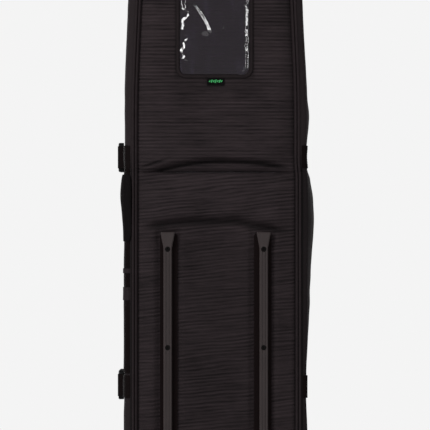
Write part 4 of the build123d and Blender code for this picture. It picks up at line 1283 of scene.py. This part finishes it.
def grip_lift(z):
    """How high the side grip's middle line stands off the cloth, and how far it puffs up from there."""
    full = hump(z, GRIP_CROWN_Z, 0.036)
    return 0.0028 + 0.0011 * full, 0.0010 + 0.0019 * full


def side_grip():
    """The padded grip, a crowned sleeve wrapped over the webbing and the bag's back edge."""
    z = np.linspace(handle_low.z - 0.010, handle_high.z + 0.010, GRIP_ROWS)
    middle, half_length = (z[0] + z[-1]) / 2, (z[-1] - z[0]) / 2
    swell = np.clip(1 - np.abs((z - middle) / half_length) ** 6, 0, 1) ** 0.5
    turns = ring_turns(GRIP_SIDES)
    rings = []
    for height, swollen, (base, puff) in zip(z, swell, zip(*grip_lift(z))):
        around = GRIP_MIDDLE + GRIP_REACH * (0.80 + 0.20 * swollen) * squared(np.cos(turns), 0.7)
        channel = 1 - 0.18 * hump(np.abs(around - GRIP_MIDDLE), GRIP_SEAM, 0.0024)
        puff = puff * (0.35 + 0.65 * swollen) * channel
        lift = base + squared(np.sin(turns), 0.8) * puff
        rings.append(soften(edge_place(around, np.full(GRIP_SIDES, height), np.maximum(lift, 0.0009))))
    return padded_sleeve("side_handle_grip", rings, z, 0.015)


ride(side_grip(), "side_handle", "side_handle")
seam_z = np.linspace(handle_low.z - 0.002, handle_high.z + 0.002, 40)
base, puff = grip_lift(seam_z)
grip_runs = []
for around in (GRIP_MIDDLE - GRIP_SEAM, GRIP_MIDDLE + GRIP_SEAM):
    line = soften(edge_place(np.full(40, around), seam_z, base + 0.80 * puff))
    grip_runs.append((line, (-0.8, -0.6, 0)))
sew("side_handle_stitches", grip_runs, "handle_padding", "side_handle")


# ---- ID window, binding and label ----
pane_low, pane_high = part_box("window_pane")
PANE_CORNER = 0.011
FRAME_CORNER = 0.017


def rounded_half(z, low, high, corner):
    """Half the width of a rounded rectangle at heights z."""
    near = np.minimum(z - low.z, high.z - z)
    short = corner - np.sqrt(np.maximum(corner**2 - (corner - np.clip(near, 0, corner)) ** 2, 0))
    return (high.x - low.x) / 2 - short


def window_rows(low, high, corner, step):
    turns = np.radians(np.linspace(0, 90, 9))
    ends = corner * (1 - np.cos(turns))
    rows = np.concatenate([low.z + ends, high.z - ends, np.arange(low.z + corner, high.z - corner, step)])
    return np.unique(np.round(rows, 6))


def on_back(x, z, lift):
    """Points on the softened back fabric, lifted off it."""
    return soften(xyz(x, BACK_Y, z)) - xyz(0.0 * x, lift, 0.0 * x)


def pane_gaps(z, left):
    """Where the vinyl's sides lie too slack to catch the light, between 0 and 1."""
    left_gaps = humps(z, ((1, 1.1305, 0.0070), (1, 1.0895, 0.0055))) + smooth((1.0535 - z) / 0.006)
    left_gaps = left_gaps + smooth((z - 1.166) / 0.01) * smooth(np.sin(z * 190) * 2.0)
    right_gaps = smooth((z - 1.170) / 0.01) * smooth(np.sin(z * 150 + 1) * 1.5)
    right_gaps = right_gaps + smooth((1.0385 - z) / 0.005)
    return np.clip(np.where(left, left_gaps, right_gaps), 0, 1)


PANE_DIMPLES = ((-0.037, 1.075), (0.041, 1.049), (0.043, 1.031), (0.010, 1.105))


def pane_height(x, z):
    """The vinyl's own waves: it lifts off its sewn sides and creases across its face."""
    centre = (pane_low.x + pane_high.x) / 2
    edge = (pane_high.x - pane_low.x) / 2 - np.abs(x - centre)
    ends = np.minimum(z - pane_low.z, pane_high.z - z)
    left = x < centre
    margin = 0.0010 + np.where(left, 0.0024, 0.0014) * (1 + ripple(z * 170, np.where(left, 1.0, 4.0), 3.0))
    reach = 0.0060 * (1 + np.where(left, 0.20, 0.15) * ripple(z * 260, np.where(left, 2.0, 5.0), 9.0))
    reach = reach * (1 + 1.5 * pane_gaps(z, left))
    lifted = 0.0028 * np.clip((edge - margin) / reach, 0, 1)
    sunk = 1 - (1 - smooth(ends / 0.050)) * smooth((edge - 0.007) / 0.016)
    lifted = lifted * sunk * smooth(ends / 0.014)
    inside = smooth(edge / 0.016) * smooth(ends / 0.030)
    drape = 0.0008 * ripple(x * 40, z * 17, 5.0)
    bend = x + 0.0140 + 0.0330 * (np.clip(z - 1.096, 0, 0.08) / 0.056) ** 1.45
    steep = np.where(bend > 0, 1 - np.clip(bend / 0.0085, 0, 1), smooth((bend + 0.030) / 0.030))
    ridge = 0.0038 * steep * smooth((z - 1.086) / 0.017) * smooth((1.190 - z) / 0.03)
    dents = (hump(x, dent_x, 0.0040) * hump(z, dent_z, 0.0085) for dent_x, dent_z in PANE_DIMPLES)
    dimples = 0.0016 * sum(dents)
    crumple = 0.0005 * ripple(x * 110, z * 80, 8.0) * hump(z, pane_low.z + 0.024, 0.022)
    return 0.0006 + lifted + inside * (drape + ridge + crumple) + dimples * smooth(edge / 0.008)


def pane():
    rows = window_rows(pane_low, pane_high, PANE_CORNER, 0.0016)
    centre = (pane_low.x + pane_high.x) / 2
    x = centre + rounded_half(rows, pane_low, pane_high, PANE_CORNER)[:, None] * np.linspace(-1, 1, 91)
    z = np.broadcast_to(rows[:, None], x.shape)
    height = pane_height(x, z)
    return shell("window_vinyl", on_back(x, z, height), on_back(x, z, height - 0.0004), FILM, "window_film")


ride(pane(), "shell", "window_pane")


def frame_line(inset):
    """The window frame's outer line, once round, pulled in by inset."""
    x0, x1 = FRAME_LOW.x + inset, FRAME_HIGH.x - inset
    z0, z1 = FRAME_LOW.z + inset, FRAME_HIGH.z - inset
    middle = (x0 + x1) / 2
    corners = [(middle, z0), (x0, z0), (x0, z1), (x1, z1), (x1, z0), (middle, z0)]
    return rounded(corners, (FRAME_CORNER - inset,) * 4)


def window_frame():
    """The folded binding round the pane, crowned across its width, with painted shade along both its edges.
    """
    width = pane_low.x - FRAME_LOW.x + 0.0015
    count = len(spaced(frame_line(0.0), step=0.003))
    across = np.linspace(0, 1, 8)
    outer, inner = [], []
    for t in across:
        line = frame_line(width * t)
        x, z = spaced(line, at=np.linspace(0, lengths(line)[-1], count))[:-1].T
        outer.append(on_back(x, z, 0.0005 + 0.0011 * arch(2 * t - 1)))
        inner.append(on_back(x, z, -0.0005))
    outer, inner = np.stack(outer, axis=1), np.stack(inner, axis=1)
    piece = shell("window_frame_binding", outer, inner, WINDOW_EDGE, "window_binding", wrap=True)
    # painted shade along the binding's outer and inner edges
    painted_edge_shade = 0.75 * hump(across, 1, 0.20) + 0.55 * hump(across, 0, 0.16)
    return shaded(piece, np.broadcast_to(painted_edge_shade, (2, count - 1, len(across))))


ride(window_frame(), "shell", "window_binding")
frame_runs = []
for inset in (0.0014, 0.0052):
    x, z = spaced(frame_line(inset), step=0.002).T
    frame_runs.append((on_back(x, z, 0.0015), (0, -1, 0)))
sew("window_stitches", frame_runs, "window_binding", "shell")

tab_low, tab_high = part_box("label_tab")


def label():
    """A small folded woven label, sewn under the window."""
    x, z = np.meshgrid(np.linspace(tab_low.x, tab_high.x, 16), np.linspace(tab_low.z, tab_high.z + 0.001, 9))
    lift = 0.0011 + 0.0007 * smooth((tab_high.z - z) / 0.004) + 0.0002 * np.sin(x * 300)
    return shell("label_cloth_tab", on_back(x, z, lift), on_back(x, z, 0.0001), LABEL_CLOTH, "label")


BAR_HEIGHTS = 0.0028 * np.array((0.45, 0.9, 0.6, 1.0, 0.55, 0.85, 0.5))  # half heights
BAR_PITCH, BAR_LEAN = 0.0034, 0.0009


def label_mark():
    """A generic embroidered mark: a row of leaning bars of different heights."""
    parts = []
    centre_z = (tab_low.z + tab_high.z) / 2 + 0.0012
    for k, tall in enumerate(BAR_HEIGHTS):
        t = np.linspace(-1, 1, 4)[:, None]
        x = (tab_low.x + tab_high.x) / 2 + (k - 3) * BAR_PITCH + t * BAR_LEAN + np.array([[-0.0008, 0.0008]])
        z = centre_z + t * tall + np.zeros((1, 2))
        parts.append((on_back(x, z, 0.0024), on_back(x, z, 0.0014)))
    return joined("label_embroidery", parts, LABEL_MARK, "label")


ride(label(), "shell", "label_tab")
ride(label_mark(), "shell")

# ---- inner tie-down straps ----
inner_low, inner_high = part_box("inner_straps")


def inner_strap(z):
    """A tie-down strap lying slack on the lining."""
    x = np.linspace(inner_low.x, inner_high.x, 50)[:, None]
    across = np.linspace(-0.5, 0.5, 6) * STRAP_WIDTH
    bow = np.sin((x - inner_low.x) / (inner_high.x - inner_low.x) * math.pi)
    y = inner_low.y + 0.0035 * bow**2 + 0.0012 * np.sin(x * 55) * bow
    return xyz(x, y + STRAP_THICK, z + across), xyz(x, y, z + across)


INNER_Z = (inner_low.z + STRAP_WIDTH / 2, inner_high.z - STRAP_WIDTH / 2)
ride(strap("tie_down_webbing", [inner_strap(z) for z in INNER_Z], SIDE_WEAVE), "shell", "inner_straps")

# ---- top handle ----
top_low, top_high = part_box("top_handle")
top_middle_y = (top_low.y + top_high.y) / 2
PIN_Z = top_low.z + 0.004
TOP_CREST_Z = top_high.z - 0.0075
TOP_GRIP_HALF = 0.036


def bent_sides(line, thick):
    """A bent line in a plane, moved half the thickness out to either side of itself."""
    ahead = unit(np.gradient(line, axis=0))
    out = np.stack([-ahead[:, 1], ahead[:, 0]], axis=1)
    return line + out * thick / 2, line - out * thick / 2


def top_arch():
    """The handle's webbing arch, doubled and stitched, from one pin to the other."""
    wide, foot = top_high.x - 0.0045, PIN_Z + 0.001
    corners = [(-wide, foot), (-wide, TOP_CREST_Z), (wide, TOP_CREST_Z), (wide, foot)]
    line = spaced(rounded(corners, (0.013, 0.013), 0.002), step=0.003)
    broad = 0.0036 + 0.0059 * smooth((line[:, 1:] - PIN_Z - 0.002) / 0.016)
    y = top_middle_y + broad * np.linspace(-1, 1, 7)
    grids = tuple(xyz(side[:, :1], y, side[:, 1:]) for side in bent_sides(line, 0.0060))
    return strap("top_handle_webbing", [grids], SIDE_WEAVE)


def top_grip():
    """The padded sleeve round the arch's crest."""
    run = np.linspace(-TOP_GRIP_HALF, TOP_GRIP_HALF, 40)
    swell = np.clip(1 - np.abs(run / TOP_GRIP_HALF) ** 8, 0, 1) ** 0.5
    turns = ring_turns(26)
    rings = []
    for x, swollen in zip(run, swell):
        rib = 1 + 0.05 * np.cos(x * 2 * math.pi / 0.012)
        y = top_middle_y + (0.0095 + 0.0040 * swollen) * rib * squared(np.cos(turns), 0.8)
        z = TOP_CREST_Z + (0.0042 + 0.0033 * swollen) * rib * squared(np.sin(turns), 0.9)
        rings.append(xyz(x, y, z))
    return padded_sleeve("top_handle_grip", rings, run, 0.010)


ride(top_arch(), "top_handle", "top_handle")
ride(top_grip(), "top_handle")

# ---- front pocket ----
pocket_low, pocket_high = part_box("front_pocket")
zip_low, zip_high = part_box("pocket_zip")
MOUTH_Z = (zip_low.z + zip_high.z) / 2
MOUTH_HALF = (0.092, 0.008)
POCKET_CORNER = 0.022


def pocket_bag():
    """The gusseted pocket: a crowned front on a short gusset, with a slot for its zip."""
    slot_rows = MOUTH_Z + np.array([-1.25, -1.0, 1.0, 1.25]) * MOUTH_HALF[1]
    rows = window_rows(pocket_low, pocket_high, POCKET_CORNER, 0.006)
    rows = distinct(np.concatenate([rows, slot_rows]), 0.0003)
    wide = (pocket_high.x - pocket_low.x) / 2
    steps = np.concatenate([np.linspace(-1, 1, 61), [-MOUTH_HALF[0] / wide, MOUTH_HALF[0] / wide]])
    reach = rounded_half(rows, pocket_low, pocket_high, POCKET_CORNER)[:, None]
    x = reach * np.unique(np.round(steps, 5))
    z = np.broadcast_to(rows[:, None], x.shape)
    border = np.minimum(reach - np.abs(x), np.minimum(z - pocket_low.z, pocket_high.z - z))
    gusset = (pocket_high.y - pocket_low.y) * arch(1 - np.clip(border / 0.006, 0, 1))
    belly = 0.0055 * smooth(border / 0.075) * smooth((MOUTH_Z - 0.012 - z) / 0.06 + 0.05)
    waves = 0.0009 * ripple(x * 30, z * 33, 7.0) * smooth(border / 0.03) * smooth(np.abs(z - MOUTH_Z) / 0.03)
    points = xyz(x, pocket_low.y + gusset + belly + waves, z)
    flat = points.reshape(-1, 3)
    faces = []
    for face in grid_faces(*x.shape, False):
        centre = flat[face].mean(0)
        if abs(centre[0]) >= MOUTH_HALF[0] or abs(centre[2] - MOUTH_Z) >= MOUTH_HALF[1]:
            faces.append(face)
    uv = np.stack([x, z], axis=-1)
    piece = mesh_piece("front_pocket_cloth", points, faces, RIBBED_UPPER, uv)
    thick = piece.modifiers.new("thickness", "SOLIDIFY")
    thick.thickness = 0.0018
    thick.offset = -1 if piece.data.polygons[0].normal.y > 0 else 1
    return piece


ride(pocket_bag(), "lid", "front_pocket")

# ---- sewn details on the straps ----
BOX_Y = (-0.070, -0.050)  # the stitched box on each strap, along the strap
BOX_HALF = 0.015  # and half of it across
box_runs = []
for z in STRAP_Z:
    for side in (-1, 1):
        x = side * (float(half_width(z)) + STRAP_LIFT + STRAP_THICK + 0.0002)
        levels = [xyz(x, np.linspace(*BOX_Y, 8), z + rise) for rise in (-BOX_HALF, BOX_HALF)]
        uprights = [xyz(x, y, np.linspace(z - BOX_HALF, z + BOX_HALF, 8)) for y in BOX_Y]
        box_runs += [(soften(line), (side, 0, 0)) for line in levels + uprights]
sew("strap_box_stitches", box_runs, "black_webbing", "shell")

# ---- webbing threaded on the buckles ----
SLING_THICK = 0.0010
SLING_BEND = 0.0009  # the radius of its bends
socket_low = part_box("buckle_sockets")[0]
SOCKET_FACE = -socket_low.x - float(half_width(STRAP_Z[0]))  # how far a socket stands off the side


def sling(z, way):
    """Webbing bent along (y, lift) points at strap height z, as its outer and inner grid."""
    line = spaced(rounded(way, [SLING_BEND] * (len(way) - 2), 0.0003), step=0.0008)
    across = np.linspace(-0.5, 0.5, 7)[None, :] * STRAP_WIDTH
    grids = []
    for bent in bent_sides(line, SLING_THICK):
        flat = xyz(-half_width(z + across) - bent[:, 1:], bent[:, :1], z + across)
        free = smooth((bent[:, 1:] - 0.0024) / 0.005)[..., None]
        grids.append(soften(flat) * (1 - free) + flat * free)
    return tuple(grids)


bar_y = socket_low.y
anchor_way = [
    (bar_y - 0.0085, STRAP_LIFT + STRAP_THICK + 0.0005),
    (bar_y - 0.0045, 0.0055),
    (bar_y - 0.0018, SOCKET_FACE - 0.0008),
    (bar_y + 0.0004, SOCKET_FACE + 0.0007),
    (bar_y + 0.0026, SOCKET_FACE + 0.0006),
    (bar_y + 0.0035, SOCKET_FACE - 0.0012),
    (bar_y + 0.0035, SOCKET_FACE - 0.0060),
]
ride(strap("anchor_webbing_loops", [sling(z, anchor_way) for z in STRAP_Z]), "shell")
prong_face = SOCKET_FACE - 0.0008
for name, z in zip(STRAP_NAMES, STRAP_Z):
    slot_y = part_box(f"buckle_prongs_{name}")[1].y - 0.0145
    prong_way = [
        (slot_y, prong_face - 0.0050),
        (slot_y + 0.0002, prong_face - 0.0006),
        (slot_y + 0.0016, prong_face + 0.0007),
        (slot_y + 0.0064, prong_face + 0.0007),
        (slot_y + 0.0078, prong_face - 0.0006),
        (slot_y + 0.0080, prong_face - 0.0050),
    ]
    ride(strap(f"prong_webbing_{name}", [sling(z, prong_way)]), f"prongs_{name}")


# ---- camera, light and floor ----
CAMERA_PLACE = (-0.0012, -4.588, 0.787)
CAMERA_LENS = 221.6
ROOM_COLOUR = rgb(0.905, 0.905, 0.905)
FLOOR_RADIUS = 2.6
FLOOR_FADE = (0.45, 1.90)  # from and to what distance the floor turns into the room's colour


def placed(name, data, place, turn):
    """A new object in the scene at its place and turn."""
    item = bpy.data.objects.new(name, data)
    item.location, item.rotation_euler = place, turn
    bpy.context.scene.collection.objects.link(item)
    return item


def camera():
    data = bpy.data.cameras.new("camera")
    data.lens, data.sensor_width = CAMERA_LENS, 36.0
    data.clip_start, data.clip_end = 0.05, 100.0
    bpy.context.scene.camera = placed("camera", data, CAMERA_PLACE, (math.pi / 2, 0, 0))


def softbox(name, place, aim, size, power):
    data = bpy.data.lights.new(name, "AREA")
    data.shape = "RECTANGLE"
    data.size, data.size_y = size
    data.energy = power
    placed(name, data, place, (Vector(aim) - Vector(place)).to_track_quat("-Z", "Y").to_euler())


def studio():
    """A pale room, large soft boxes all round, and two tall strips that edge the window's vinyl."""
    middle = (0, 0, 0.8)
    window = (0, 0, 1.1)
    for name, place, aim, size, power in (
        ("key_back_left", (-1.9, -2.7, 3.3), middle, (1.5, 1.5), 88),
        ("fill_back_right", (2.4, -3.0, 1.2), middle, (1.0, 1.8), 5),
        ("strip_left", (-2.3, -2.1, 1.5), window, (0.50, 3.0), 62),
        ("strip_right", (2.3, -2.1, 1.6), window, (0.30, 3.2), 30),
        ("key_front", (1.8, 3.2, 2.7), middle, (1.8, 1.8), 90),
        ("fill_front", (-2.4, 2.6, 1.6), middle, (1.4, 2.0), 45),
    ):
        softbox(name, place, aim, size, power)
    world = bpy.data.worlds.new("studio")
    world.use_nodes = True
    nodes = world.node_tree.nodes
    seen = nodes["Background"]
    seen.inputs["Color"].default_value = ROOM_COLOUR
    seen.inputs["Strength"].default_value = 1.0
    lit = nodes.new("ShaderNodeBackground")
    lit.inputs["Color"].default_value = rgb(1.0, 1.0, 1.0)
    lit.inputs["Strength"].default_value = 0.30
    camera_ray = nodes.new("ShaderNodeLightPath").outputs["Is Camera Ray"]
    mix_shaders(world.node_tree, camera_ray, lit, seen, nodes["World Output"])
    bpy.context.scene.world = world
    bpy.context.scene.view_settings.view_transform = "Standard"


def floor():
    """A pale paper disc under the bag, which fades into the room's colour towards its rim."""
    bpy.ops.mesh.primitive_circle_add(
        vertices=128, radius=FLOOR_RADIUS, fill_type="NGON", location=(0, 0, -0.0005)
    )
    disc = bpy.context.object
    disc.name = "studio_floor"
    paint = Paint("floor_paper", 0.9, 0.1)
    mottle = paint.weighed(1.0, (paint.noise(paint.place(), 3.0), 0.02))
    paint.colour(paint.shade(rgb(0.64, 0.64, 0.64), mottle))
    away = paint.node("VectorMath", paint.place(), operation="LENGTH")
    glow = paint.node("Emission", ROOM_COLOUR)
    fade = paint.step(away.outputs["Value"], *FLOOR_FADE)
    mix_shaders(paint, fade, paint.shader, glow, paint.nodes["Material Output"])
    disc.data.materials.append(paint.material)


camera()
studio()
floor()
for cutter in WELL_CUTTERS:
    bpy.data.objects.remove(cutter)
